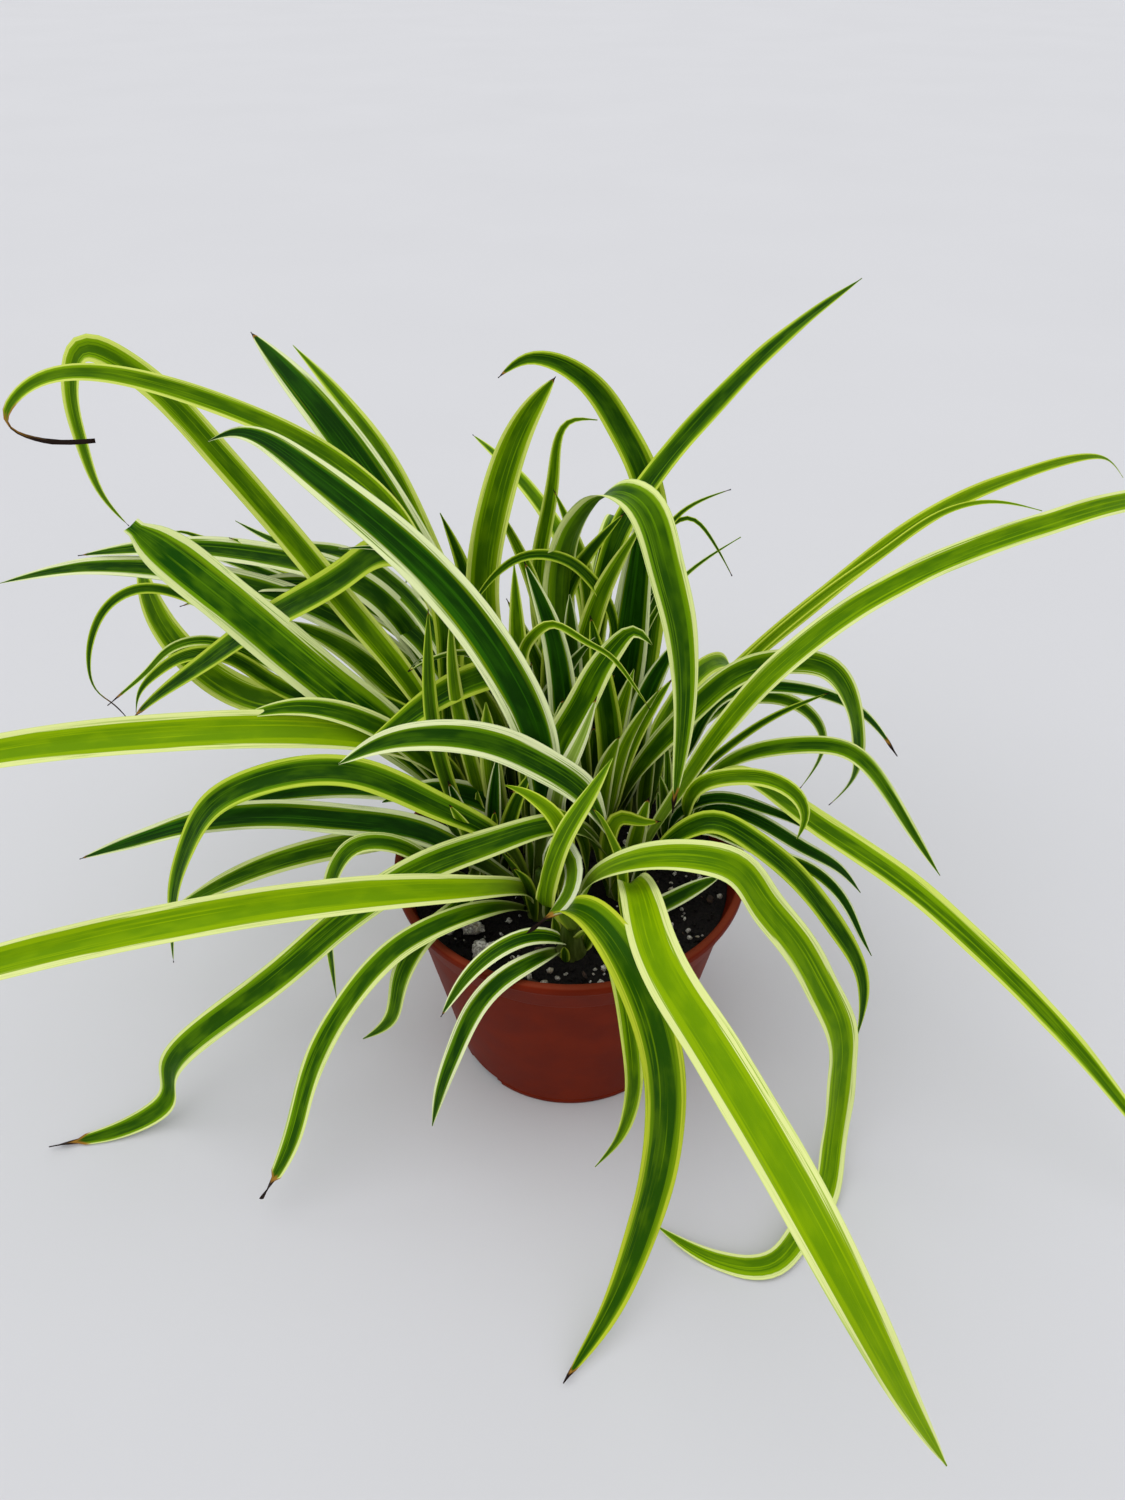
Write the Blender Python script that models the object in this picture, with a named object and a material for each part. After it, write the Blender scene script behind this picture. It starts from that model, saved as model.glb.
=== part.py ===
"""Potted spider plant: a moulded plastic nursery pot, its soil and ten rooted crowns of arching leaves.

The tables are in millimetres and the meshes in metres. The origin is the centre of the pot's foot, on the
surface that the pot stands on, with +Z up and the front towards -Y.
"""
import math
from collections import namedtuple

import bmesh
import bpy
import numpy as np

MM = 0.001
GAP = 0.3  # clearance kept between two pieces that touch

# Pot
POT_HEIGHT = 106.0
RIM_RADIUS = 76.0
FOOT_RADIUS = 53.0
WALL = 1.8
FLOOR_THICKNESS = 2.4
LIP_WIDTH = 3.6
LIP_HEIGHT = 4.5
BAND_HEIGHT = 17.0
BAND_STEP = 1.2
POT_SIDES = 56
SLOT_ANGLES = (-138.0, -48.0, 42.0, 132.0)
SLOT_LENGTH = 22.0
SLOT_HEIGHT = 4.0
SLOT_DEPTH = 7.0

# Soil and what lies on it
SOIL_LEVEL = 93.0
SOIL_SWELL = 1.2
SOIL_RINGS = (12.0, 26.0, 40.0, 54.0, 64.0)
SOIL_SIDES = 28
SOIL_SEED = 7

# Crowns
CROWN_DEPTH = 9.0
CROWN_HEIGHT = 24.0
CROWN_FOOT = 8.0
CROWN_TOP = 3.0
CROWN_SIDES = 12
LOWEST_LEAF = 4.0
HIGHEST_LEAF = 20.0

# Leaves
LEAF_THICKNESS = 0.9
LEAF_STATIONS = 15
LEAF_FOLD = 20.0
BASE_SHARE = 0.46
WIDEST_AT = 0.34
ROLL_BY = 0.3
TAPER = 3.0
BLUNT = {  # leaves whose blade stays broad nearly to its end
    "back_left_broad": 14.0,
    "back_left_folded": 5.0,
    "far_left_rising": 4.0,
    "far_left_upright": 6.0,
    "middle_left_drop": 6.0,
    "right_floor": 5.0,
    "right_far": 5.0,
    "right_curl": 5.0,
    "centre_right": 5.0,
    "middle_floor": 5.0,
    "back_bent": 4.0,
    "front_drop": 4.0,
}
TIP_WIDTH = 1.0
BROAD_TIPS = {"back_left_broad": 9.0, "middle_left_drop": 3.0, "back_left_high": 2.0}
FLOOR_CLEARANCE = 0.4

CROWNS = {
    "front": (0, -44),
    "middle": (-12, -22),
    "front_right": (22, -10),
    "right": (48, 22),
    "back_right": (32, 44),
    "centre": (10, 22),
    "back": (2, 55),
    "far_left": (-24, 50),
    "back_left": (-42, 30),
    "left": (-36, -6),
}

Leaf = namedtuple("Leaf", "name crown width roll points")

# Each crown's leaves from the outermost to the innermost: name, crown, width, roll in degrees and points. The
# midrib passes through the points after it has left the crown, and the last point is the tip. The blade turns
# by its roll as it leaves the sheath.
LEAVES = [
    Leaf("front_hook", "front", 8.5, -30, ((-16, -66, 110), (-25, -72, 109), (-35, -77, 100),
        (-44, -82, 81), (-51, -85, 60), (-57, -87, 34))),
    Leaf("front_short", "front", 7.5, -20, ((-5, -55, 111), (-12, -58, 116), (-24, -63, 117),
        (-38, -71, 110), (-50, -80, 95))),
    Leaf("front_inner_drop", "front", 8, 20, ((13, -64, 123), (19, -80, 113), (22, -88, 97),
        (24, -94, 78), (23, -96, 58), (19, -98, 42), (10, -100, 25))),
    Leaf("front_drop", "front", 16, 20, ((-1, -60, 133), (7, -72, 142), (23, -97, 135),
        (33, -112, 100), (28, -130, 42), (15, -150, 12), (-3, -174, 2))),
    Leaf("middle_left_drop", "middle", 10, -30, ((-30, -40, 113), (-50, -54, 119), (-66, -60, 113),
        (-82, -68, 99), (-97, -78, 78), (-106, -86, 57), (-113, -95, 36), (-128, -104, 8))),
    Leaf("front_far_left", "middle", 15, -35, ((-20, -33, 116), (-36, -43, 127), (-58, -51, 134),
        (-109, -63, 139), (-170, -74, 134), (-240, -84, 118), (-325, -95, 84))),
    Leaf("left_dark", "middle", 14, -35, ((-32, -20, 114), (-64, -5, 123), (-97, -1, 126),
        (-123, 1, 127), (-159, 3, 121), (-187, 5, 110), (-218, 7, 96))),
    Leaf("left_hanging", "middle", 13, -50, ((-27, -19, 128), (-53, -17, 147), (-83, -12, 160),
        (-124, -10, 155), (-145, -9, 142), (-161, -8, 118), (-172, -8, 92), (-183, -8, 45))),
    Leaf("back_bent", "middle", 13, 30, ((-7, -8, 125), (-8, -1, 148), (-5, 4, 163), (3, 8, 178),
        (12, 8, 199), (18, 9, 208), (24, 8, 214), (31, 6, 209))),
    Leaf("middle_dark", "middle", 18, -35, ((-14, -8, 176), (-23, -6, 201), (-37, 2, 222),
        (-59, 14, 243), (-101, 38, 268), (-129, 56, 273), (-141, 60, 268))),
    Leaf("middle_upright", "middle", 10, -50, ((-11, -43, 118), (-10, -45, 131), (-7, -46, 146),
        (-3, -46, 158), (6, -42, 174), (15, -36, 187))),
    Leaf("right_drop", "front_right", 10, 50, ((36, -14, 118), (49, -17, 136), (57, -19, 141),
        (72, -22, 135), (92, -26, 118), (111, -30, 93), (123, -34, 73), (128, -37, 53), (128, -40, 29))),
    Leaf("near", "front_right", 17, 10, ((26, -66, 143), (29, -94, 148), (43, -142, 156),
        (54, -175, 160), (63, -200, 160), (76, -216, 141), (90, -226, 115), (105, -232, 87))),
    Leaf("right_floor", "front", 15, 55, ((10, -48, 138), (26, -52, 151), (47, -56, 156),
        (60, -58, 153), (70, -60, 140), (84, -63, 121), (99, -66, 94), (107, -68, 77), (112, -73, 42),
        (111, -84, 12), (106, -99, 6), (93, -117, 5), (80, -129, 4), (64, -129, 3), (48, -122, 3),
        (35, -112, 2))),
    Leaf("right_far", "front_right", 11, 35, ((50, 11, 139), (79, 20, 183), (129, 46, 210),
        (163, 62, 218), (209, 80, 225), (244, 96, 226), (330, 146, 190))),
    Leaf("middle_floor", "front_right", 14, -35, ((9, -16, 128), (-4, -22, 141), (-31, -26, 136),
        (-58, -32, 128), (-89, -41, 110), (-128, -50, 76), (-158, -57, 53), (-172, -59, 34),
        (-179, -60, 12), (-192, -65, 4), (-228, -76, 2))),
    Leaf("middle_arch", "front_right", 15, -45, ((12, -13, 136), (2, -18, 158), (-12, -22, 173),
        (-34, -27, 188), (-63, -30, 191), (-88, -26, 176))),
    Leaf("right_short", "right", 7, 30, ((60, 17, 116), (76, 9, 120), (100, 0, 110), (118, 0, 97),
        (130, 0, 82))),
    Leaf("right_curl", "right", 7.5, 80, ((50, 5, 124), (55, -2, 147), (68, -6, 154), (79, -9, 155),
        (89, -12, 151), (95, -14, 140), (93, -16, 129))),
    Leaf("right_low", "right", 12, 35, ((57, 14, 128), (70, 10, 141), (84, 4, 138), (103, -2, 126),
        (133, -20, 114), (169, -43, 92), (200, -66, 69), (248, -104, 22))),
    Leaf("right_slim", "right", 8, 50, ((58, 25, 121), (70, 26, 136), (99, 24, 147), (117, 21, 147),
        (134, 18, 132), (150, 14, 109), (168, 10, 83))),
    Leaf("back_right_thin", "back_right", 7, 50, ((50, 55, 120), (71, 62, 141), (101, 62, 143),
        (119, 62, 120), (112, 62, 91))),
    Leaf("back_right_slim", "back_right", 7, 30, ((54, 50, 122), (68, 52, 152), (101, 52, 157),
        (131, 52, 144), (152, 52, 119))),
    Leaf("back_right_far", "back_right", 8, 35, ((68, 62, 151), (113, 83, 185), (162, 106, 214),
        (208, 128, 224), (239, 142, 226), (256, 150, 222), (270, 156, 210))),
    Leaf("back_right_tall", "back_right", 15, 0, ((32, 62, 150), (36, 84, 208), (32, 96, 236),
        (20, 104, 258), (4, 102, 279), (-17, 102, 286), (-30, 105, 277))),
    Leaf("centre_right", "centre", 11, 50, ((31, 28, 131), (52, 31, 160), (74, 33, 180), (91, 34, 183),
        (107, 34, 180), (117, 34, 168), (126, 35, 142), (127, 36, 117), (120, 37, 102))),
    Leaf("back_dark", "back", 20, 55, ((17, 50, 124), (22, 52, 148), (26, 55, 178), (28, 58, 206),
        (29, 60, 226), (28, 62, 242))),
    Leaf("back_slim", "back", 8, -20, ((-10, 76, 150), (-14, 84, 200), (-7, 85, 244), (0, 86, 266),
        (11, 87, 266))),
    Leaf("back_hidden", "back", 9, 0, ((8, 78, 135), (4, 104, 185), (-18, 132, 213), (-48, 180, 222))),
    Leaf("back_long", "back", 10, 25, ((11, 66, 162), (20, 72, 221), (54, 105, 257), (94, 146, 280),
        (136, 189, 294))),
    Leaf("centre_crest", "back", 20, 10, ((1, 50, 150), (-3, 52, 202), (2, 47, 237), (8, 42, 249),
        (16, 34, 258), (25, 24, 258), (33, 12, 241), (39, 5, 221), (43, -1, 193), (43, -6, 162),
        (42, -9, 137))),
    Leaf("far_left_low", "far_left", 14, -40, ((-63, 72, 140), (-118, 98, 170), (-176, 118, 177),
        (-235, 134, 173), (-291, 148, 156))),
    Leaf("far_left_high", "far_left", 14, -40, ((-58, 68, 147), (-85, 86, 182), (-137, 110, 191),
        (-191, 126, 188), (-243, 140, 176))),
    Leaf("far_left_tilted", "far_left", 14, -30, ((-28, 42, 160), (-28, 24, 184), (-38, 14, 188),
        (-52, 11, 182), (-70, 10, 168), (-92, 10, 150))),
    Leaf("far_left_rising", "far_left", 19.5, -25, ((-46, 74, 146), (-59, 86, 182), (-77, 96, 217),
        (-96, 110, 243), (-119, 130, 264), (-144, 158, 279))),
    Leaf("far_left_inner", "far_left", 12, -20, ((-33, 80, 142), (-52, 96, 171), (-82, 128, 226),
        (-104, 152, 248), (-131, 180, 266))),
    Leaf("far_left_upright", "far_left", 15, -15, ((-32, 66, 150), (-38, 68, 195), (-31, 74, 237),
        (-16, 77, 274), (-6, 75, 288))),
    Leaf("back_left_curved", "back_left", 19, -30, ((-58, 47, 112), (-88, 66, 120), (-129, 82, 126),
        (-150, 90, 123), (-172, 100, 127), (-200, 118, 147), (-216, 146, 159), (-224, 165, 161))),
    Leaf("back_left_broad", "back_left", 23.5, -30, ((-71, 36, 132), (-100, 42, 160), (-134, 50, 191),
        (-165, 61, 215), (-183, 68, 228))),
    Leaf("back_left_long", "back_left", 17, -40, ((-69, 22, 145), (-92, 18, 157), (-133, 16, 161),
        (-185, 14, 159), (-236, 9, 155), (-290, 5, 140), (-335, 3, 112))),
    Leaf("back_left_folded", "back_left", 12, -50, ((-67, 42, 161), (-93, 56, 194), (-118, 67, 225),
        (-147, 76, 262), (-175, 83, 290), (-190, 83, 296), (-197, 82, 284), (-198, 79, 262),
        (-195, 77, 238), (-187, 76, 224))),
    Leaf("back_left_crossing", "back_left", 14, -50, ((-52, 28, 152), (-50, 34, 207), (-57, 36, 228),
        (-69, 39, 232), (-89, 46, 219), (-114, 56, 199), (-143, 71, 175), (-179, 84, 144),
        (-206, 92, 121), (-222, 96, 105))),
    Leaf("back_left_high", "back_left", 10.5, -40, ((-40, 48, 156), (-56, 55, 194), (-71, 59, 236),
        (-92, 63, 257), (-123, 61, 277), (-157, 56, 292), (-187, 52, 297), (-204, 48, 290),
        (-210, 47, 280), (-205, 50, 274), (-184, 58, 269))),
    Leaf("left_short", "left", 8, -60, ((-58, -17, 116), (-72, -18, 128), (-87, -17, 127),
        (-96, -17, 117), (-102, -17, 101), (-106, -17, 70), (-108, -17, 31))),
    Leaf("left_low", "left", 12, -45, ((-62, 6, 108), (-98, 9, 103), (-133, 11, 90), (-162, 12, 74),
        (-191, 12, 55))),
    Leaf("left_rim", "left", 9, -30, ((-46, -38, 111), (-56, -53, 113), (-67, -61, 97), (-73, -63, 74),
        (-87, -60, 56))),
]


def material(name, rgb, roughness, metallic=0.0):
    """A plain principled material."""
    made = bpy.data.materials.new(name)
    made.use_nodes = True
    shader = made.node_tree.nodes["Principled BSDF"]
    shader.inputs["Base Color"].default_value = (*rgb, 1.0)
    shader.inputs["Roughness"].default_value = roughness
    shader.inputs["Metallic"].default_value = metallic
    return made


def solid(name, verts_mm, faces, look):
    """One mesh object from millimetre points, with its faces turned outwards."""
    mesh = bpy.data.meshes.new(name)
    mesh.from_pydata([[c * MM for c in v] for v in verts_mm], [], faces)
    bm = bmesh.new()
    bm.from_mesh(mesh)
    bmesh.ops.recalc_face_normals(bm, faces=bm.faces)
    bm.to_mesh(mesh)
    bm.free()
    made = bpy.data.objects.new(name, mesh)
    bpy.context.scene.collection.objects.link(made)
    if look:
        mesh.materials.append(look)
    return made


def turned(name, profile, sides, look, centre=(0.0, 0.0)):
    """A solid of revolution. The profile runs from the axis to the axis as (radius, z)."""
    verts = []
    rings = []
    for radius, z in profile:
        count = 1 if radius == 0 else sides
        rings.append(range(len(verts), len(verts) + count))
        for i in range(count):
            a = math.tau * i / sides
            verts.append((centre[0] + radius * math.cos(a), centre[1] + radius * math.sin(a), z))
    faces = []
    for low, high in zip(rings, rings[1:]):
        faces += band(low, high, sides)
    return solid(name, verts, faces, look)


def band(low, high, sides):
    """The faces between two rings, either of which may be a single point."""
    faces = []
    for i in range(sides):
        j = (i + 1) % sides
        if len(low) == 1:
            faces.append((low[0], high[j], high[i]))
        elif len(high) == 1:
            faces.append((low[i], low[j], high[0]))
        else:
            faces.append((low[i], low[j], high[j], high[i]))
    return faces


def cutter(made):
    """Mark a solid as a cutting tool that isn't part of the object."""
    made.hide_render = True
    made.display_type = "WIRE"
    return made


def cut(body, tool, label):
    """Take a cutter out of a body."""
    step = body.modifiers.new(label, "BOOLEAN")
    step.operation = "DIFFERENCE"
    step.solver = "EXACT"
    step.object = tool


def outer_wall(z):
    """Outside radius of the pot's plain wall below its band."""
    top = POT_HEIGHT - BAND_HEIGHT
    return FOOT_RADIUS + (69.8 - FOOT_RADIUS) * z / top


def inner_wall(z):
    """Inside radius of the pot at a height."""
    return outer_wall(min(z, POT_HEIGHT - BAND_HEIGHT)) - WALL + max(0.0, z - POT_HEIGHT + BAND_HEIGHT) * 0.28


def build_pot(look):
    """The pot with its foot, wall, stepped band, rolled lip and drainage slots."""
    step_z = POT_HEIGHT - BAND_HEIGHT
    lip_z = POT_HEIGHT - LIP_HEIGHT
    band_low = outer_wall(step_z) + BAND_STEP
    band_high = RIM_RADIUS - 1.2
    profile = [
        (0.0, 0.0),
        (FOOT_RADIUS - 1.0, 0.0),
        (FOOT_RADIUS + 0.1, 1.2),
        (outer_wall(step_z - 1.0), step_z - 1.0),
        (band_low, step_z + 0.4),
        (band_high, lip_z - 0.8),
        (RIM_RADIUS - 0.2, lip_z + 0.6),
        (RIM_RADIUS, POT_HEIGHT - 1.6),
        (RIM_RADIUS - 0.8, POT_HEIGHT - 0.3),
        (RIM_RADIUS - LIP_WIDTH + 0.8, POT_HEIGHT),
        (inner_wall(POT_HEIGHT), POT_HEIGHT - 1.2),
        (inner_wall(step_z), step_z),
        (inner_wall(FLOOR_THICKNESS), FLOOR_THICKNESS),
        (0.0, FLOOR_THICKNESS),
    ]
    pot = turned("pot", profile, POT_SIDES, look)
    for number, angle in enumerate(SLOT_ANGLES, 1):
        cut(pot, cutter(slot_block(number, angle)), f"slot_{number}")
    return pot


def slot_block(number, angle):
    """The block that opens one drainage slot through the corner of foot and wall."""
    radius = FOOT_RADIUS - SLOT_DEPTH / 2.0 + 1.5
    half = (SLOT_DEPTH / 2.0 + 1.0, SLOT_LENGTH / 2.0, SLOT_HEIGHT / 2.0 + 1.0)
    turn = math.radians(angle)
    verts = []
    for sx in (-1, 1):
        for sy in (-1, 1):
            for sz in (-1, 1):
                x = radius + sx * half[0]
                y = sy * half[1]
                z = SLOT_HEIGHT / 2.0 - 1.0 + sz * half[2]
                ahead = x * math.cos(turn) - y * math.sin(turn)
                aside = x * math.sin(turn) + y * math.cos(turn)
                verts.append((ahead, aside, z))
    faces = [(0, 1, 3, 2), (4, 6, 7, 5), (0, 4, 5, 1), (2, 3, 7, 6), (0, 2, 6, 4), (1, 5, 7, 3)]
    return solid(f"slot_cutter_{number}", verts, faces, None)


def build_soil(look):
    """The potting mix, a plug with a gently uneven top and a pocket for each crown."""
    rng = np.random.default_rng(SOIL_SEED)
    bottom = FLOOR_THICKNESS + GAP
    edge = inner_wall(SOIL_LEVEL - 1.5) - GAP
    step_z = POT_HEIGHT - BAND_HEIGHT
    verts = [(0.0, 0.0, bottom)]
    rings = [range(0, 1)]
    levels = [(inner_wall(bottom) - GAP, bottom), (inner_wall(step_z) - GAP, step_z)]
    levels += [(edge, SOIL_LEVEL - 1.5)]
    levels += [(radius, SOIL_LEVEL) for radius in reversed(SOIL_RINGS)]
    for index, (radius, z) in enumerate(levels):
        rings.append(range(len(verts), len(verts) + SOIL_SIDES))
        for i in range(SOIL_SIDES):
            a = math.tau * i / SOIL_SIDES
            swell = rng.uniform(-SOIL_SWELL, SOIL_SWELL) if index > 2 else 0.0
            verts.append((radius * math.cos(a), radius * math.sin(a), z + swell))
    rings.append(range(len(verts), len(verts) + 1))
    verts.append((0.0, 0.0, SOIL_LEVEL))
    faces = []
    for low, high in zip(rings, rings[1:]):
        faces += band(low, high, SOIL_SIDES)
    soil = solid("soil", verts, faces, look)
    for name, place in CROWNS.items():
        cut(soil, cutter(pocket(name, place)), f"pocket_{name}")
    return soil


def crown_radius(z):
    """Radius of a crown's core at a height."""
    share = (z - SOIL_LEVEL) / CROWN_HEIGHT
    return CROWN_FOOT + (CROWN_TOP - CROWN_FOOT) * max(0.0, share) ** 0.7


def pocket(name, place):
    """The hole in the soil that a crown stands in."""
    low = SOIL_LEVEL - CROWN_DEPTH - GAP
    high = SOIL_LEVEL + 6.0
    profile = [(0.0, low), (CROWN_FOOT + GAP, low), (CROWN_FOOT + GAP, high), (0.0, high)]
    return turned(f"pocket_cutter_{name}", profile, CROWN_SIDES, None, place)


def build_crown(name, place, look):
    """A crown's core, from its root end in the soil to the top of its sheath."""
    profile = [(0.0, SOIL_LEVEL - CROWN_DEPTH), (CROWN_FOOT, SOIL_LEVEL - CROWN_DEPTH)]
    for share in (0.0, 0.2, 0.5, 1.0):
        z = SOIL_LEVEL + share * CROWN_HEIGHT
        profile.append((crown_radius(z), z))
    profile.append((0.0, SOIL_LEVEL + CROWN_HEIGHT + 1.0))
    return turned(f"crown_{name}", profile, CROWN_SIDES, look, place)


def spline(knots, count):
    """Evenly spaced points on the natural cubic spline through the knots."""
    knots = np.array(knots, dtype=float)
    chord = np.linalg.norm(np.diff(knots, axis=0), axis=1)
    t = np.concatenate([[0.0], np.cumsum(chord)])
    n = len(knots)
    matrix = np.eye(n)
    right = np.zeros((n, 3))
    slope = np.diff(knots, axis=0) / chord[:, None]
    for i in range(1, n - 1):
        matrix[i, i - 1:i + 2] = (chord[i - 1], 2.0 * (chord[i - 1] + chord[i]), chord[i])
        right[i] = 6.0 * (slope[i] - slope[i - 1])
    bend = np.linalg.solve(matrix, right)
    fine = np.linspace(0.0, t[-1], 400)
    k = np.clip(np.searchsorted(t, fine, side="right") - 1, 0, n - 2)
    h = chord[k][:, None]
    a = (t[k + 1] - fine)[:, None]
    b = (fine - t[k])[:, None]
    curve = (bend[k] * a ** 3 + bend[k + 1] * b ** 3) / (6.0 * h)
    curve += (knots[k] / h - bend[k] * h / 6.0) * a + (knots[k + 1] / h - bend[k + 1] * h / 6.0) * b
    along = np.concatenate([[0.0], np.cumsum(np.linalg.norm(np.diff(curve, axis=0), axis=1))])
    even = np.linspace(0.0, along[-1], count)
    return np.stack([np.interp(even, along, curve[:, c]) for c in range(3)], axis=1)


def leaf_width(leaf, s):
    """Width of the blade at a share s of its length: narrow sheath, broad middle, pointed tip."""
    if s < WIDEST_AT:
        share = BASE_SHARE + (1.0 - BASE_SHARE) * math.sin(math.pi / 2.0 * s / WIDEST_AT)
    else:
        taper = BLUNT.get(leaf.name, TAPER)
        share = (1.0 - ((s - WIDEST_AT) / (1.0 - WIDEST_AT)) ** taper) ** 0.9
    return max(BROAD_TIPS.get(leaf.name, TIP_WIDTH), leaf.width * share)


def leaf_base(leaf, rank, ranks):
    """Where a leaf's midrib starts on its crown. The outer leaves start lower than the inner ones."""
    cx, cy = CROWNS[leaf.crown]
    aim = leaf.points[len(leaf.points) // 2]
    heading = math.atan2(aim[1] - cy, aim[0] - cx)
    z = SOIL_LEVEL + LOWEST_LEAF + (HIGHEST_LEAF - LOWEST_LEAF) * rank / max(1, ranks - 1)
    radius = crown_radius(z) + 1.5 * GAP + LEAF_THICKNESS / 2.0
    return (cx + radius * math.cos(heading), cy + radius * math.sin(heading), z), heading


def leaf_frames(leaf, rank, ranks, count):
    """Midrib points with the blade's side and top directions at each of them."""
    base, heading = leaf_base(leaf, rank, ranks)
    points = spline([base, *leaf.points], count)
    tangents = np.gradient(points, axis=0)
    tangents /= np.linalg.norm(tangents, axis=1)[:, None]
    side = np.array((-math.sin(heading), math.cos(heading), 0.0))
    frames = []
    for i, (point, tangent) in enumerate(zip(points, tangents)):
        side = side - tangent * side.dot(tangent)
        side /= np.linalg.norm(side)
        top = np.cross(tangent, side)
        turn = math.radians(leaf.roll) * min(1.0, i / (count - 1) / ROLL_BY)
        across = side * math.cos(turn) + top * math.sin(turn)
        frames.append((point, across, np.cross(tangent, across)))
    return frames


def build_leaf(leaf, rank, ranks, look):
    """One keeled blade. Each station has a left edge, the upper and lower midrib and a right edge."""
    fold = math.radians(LEAF_FOLD)
    verts = []
    for i, (point, side, top) in enumerate(leaf_frames(leaf, rank, ranks, LEAF_STATIONS)):
        width = leaf_width(leaf, i / (LEAF_STATIONS - 1))
        thick = LEAF_THICKNESS * (0.55 + 0.45 * width / leaf.width)
        out = side * width / 2.0 * math.cos(fold)
        up = top * width / 2.0 * math.sin(fold)
        section = [point + out + up, point + top * thick / 2.0, point - top * thick / 2.0, point - out + up]
        lift = max(0.0, FLOOR_CLEARANCE - min(v[2] for v in section))
        verts += [(v[0], v[1], v[2] + lift) for v in section]
    faces = []
    for a in range(0, 4 * (LEAF_STATIONS - 1), 4):
        b = a + 4
        for edge in (0, 3):
            for rib in (1, 2):
                faces.append((a + edge, a + rib, b + rib))
                faces.append((a + edge, b + rib, b + edge))
    for a in (0, 4 * (LEAF_STATIONS - 1)):
        faces += [(a, a + 1, a + 2), (a + 3, a + 2, a + 1)]
    return solid(f"leaf_{leaf.name}", verts, faces, look)


def build_chunk(name, centre, size, turn, look):
    """A rough mineral chunk that lies on the soil."""
    rng = np.random.default_rng(len(name))
    bm = bmesh.new()
    bmesh.ops.create_icosphere(bm, subdivisions=1, radius=1.0)
    verts = []
    for v in bm.verts:
        rough = rng.uniform(0.86, 1.1)
        x = v.co.x * rough * size[0] / 2.0
        y = v.co.y * rough * size[1] / 2.0
        ahead = x * math.cos(turn) - y * math.sin(turn)
        aside = x * math.sin(turn) + y * math.cos(turn)
        verts.append((ahead, aside, v.co.z))
    faces = [[v.index for v in face.verts] for face in bm.faces]
    bm.free()
    placed = [(x + centre[0], y + centre[1], centre[2] + z * size[2] / 2.0) for x, y, z in verts]
    return solid(name, placed, faces, look)


def main():
    for old in list(bpy.data.objects):
        bpy.data.objects.remove(old, do_unlink=True)
    build_pot(material("pot_plastic", (0.235, 0.068, 0.042), 0.5))
    build_soil(material("potting_soil", (0.018, 0.014, 0.011), 0.95))
    mineral = material("pale_mineral", (0.55, 0.52, 0.47), 0.9)
    build_chunk("chunk_long", (-42, -32, SOIL_LEVEL + 3.5), (20, 8, 5), -0.9, mineral)
    build_chunk("chunk_round", (-33, -47, SOIL_LEVEL + 3.7), (19, 10, 6), 0.15, mineral)
    sheath = material("crown_sheath", (0.48, 0.55, 0.24), 0.55)
    blade = material("leaf_blade", (0.16, 0.30, 0.05), 0.38)
    for name, place in CROWNS.items():
        build_crown(name, place, sheath)
        own = [leaf for leaf in LEAVES if leaf.crown == name]
        for rank, leaf in enumerate(own):
            build_leaf(leaf, rank, len(own), blade)


main()
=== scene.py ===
"""Looks of the potted spider plant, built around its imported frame.

The pot, soil, crowns and long leaves are finer meshes on the sizes and paths of the CAD. The small leaves,
grains and crumbs are added here. The tables are in millimetres, with the origin at the centre of the pot's
foot, +Z up and the front towards -Y.
"""

import math
from collections import namedtuple

import bmesh
import bpy
import numpy as np
from mathutils import Matrix, Vector, noise


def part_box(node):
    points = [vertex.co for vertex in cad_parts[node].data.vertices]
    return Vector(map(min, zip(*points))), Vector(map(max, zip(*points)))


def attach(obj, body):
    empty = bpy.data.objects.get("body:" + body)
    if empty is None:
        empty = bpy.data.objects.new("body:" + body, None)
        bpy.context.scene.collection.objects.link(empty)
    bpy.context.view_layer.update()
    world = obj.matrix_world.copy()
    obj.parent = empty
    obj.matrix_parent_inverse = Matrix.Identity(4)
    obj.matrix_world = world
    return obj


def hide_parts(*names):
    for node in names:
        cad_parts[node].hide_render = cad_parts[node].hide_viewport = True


MM = 0.001
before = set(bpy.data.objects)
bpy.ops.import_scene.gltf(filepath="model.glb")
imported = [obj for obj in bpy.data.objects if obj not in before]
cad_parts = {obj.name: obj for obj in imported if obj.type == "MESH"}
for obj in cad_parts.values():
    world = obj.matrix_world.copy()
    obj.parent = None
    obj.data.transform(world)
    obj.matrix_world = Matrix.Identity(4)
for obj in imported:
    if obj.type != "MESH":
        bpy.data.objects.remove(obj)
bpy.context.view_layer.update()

# Pot, soil and crowns, as in the CAD
GAP = 0.3
POT_HEIGHT = 106.0
RIM_RADIUS = 76.0
FOOT_RADIUS = 53.0
WALL = 1.8
FLOOR_THICKNESS = 2.4
LIP_HEIGHT = 4.5
BAND_HEIGHT = 17.0
BAND_STEP = 1.2
BAND_FLARE = 0.28  # how fast the inside widens with height in the band
STEP_HEIGHT = POT_HEIGHT - BAND_HEIGHT
STEP_RADIUS = 69.8  # outside radius of the plain wall where the band starts
SLOT_ANGLES = (-138.0, -48.0, 42.0, 132.0)
SLOT_LENGTH = 22.0
SLOT_HEIGHT = 4.0
SLOT_DEPTH = 7.0
SOIL_LEVEL = 93.0
CROWN_DEPTH = 9.0
CROWN_HEIGHT = 24.0
CROWN_FOOT = 8.0
CROWN_TOP = 3.0
LOWEST_LEAF = 4.0
HIGHEST_LEAF = 20.0

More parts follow.
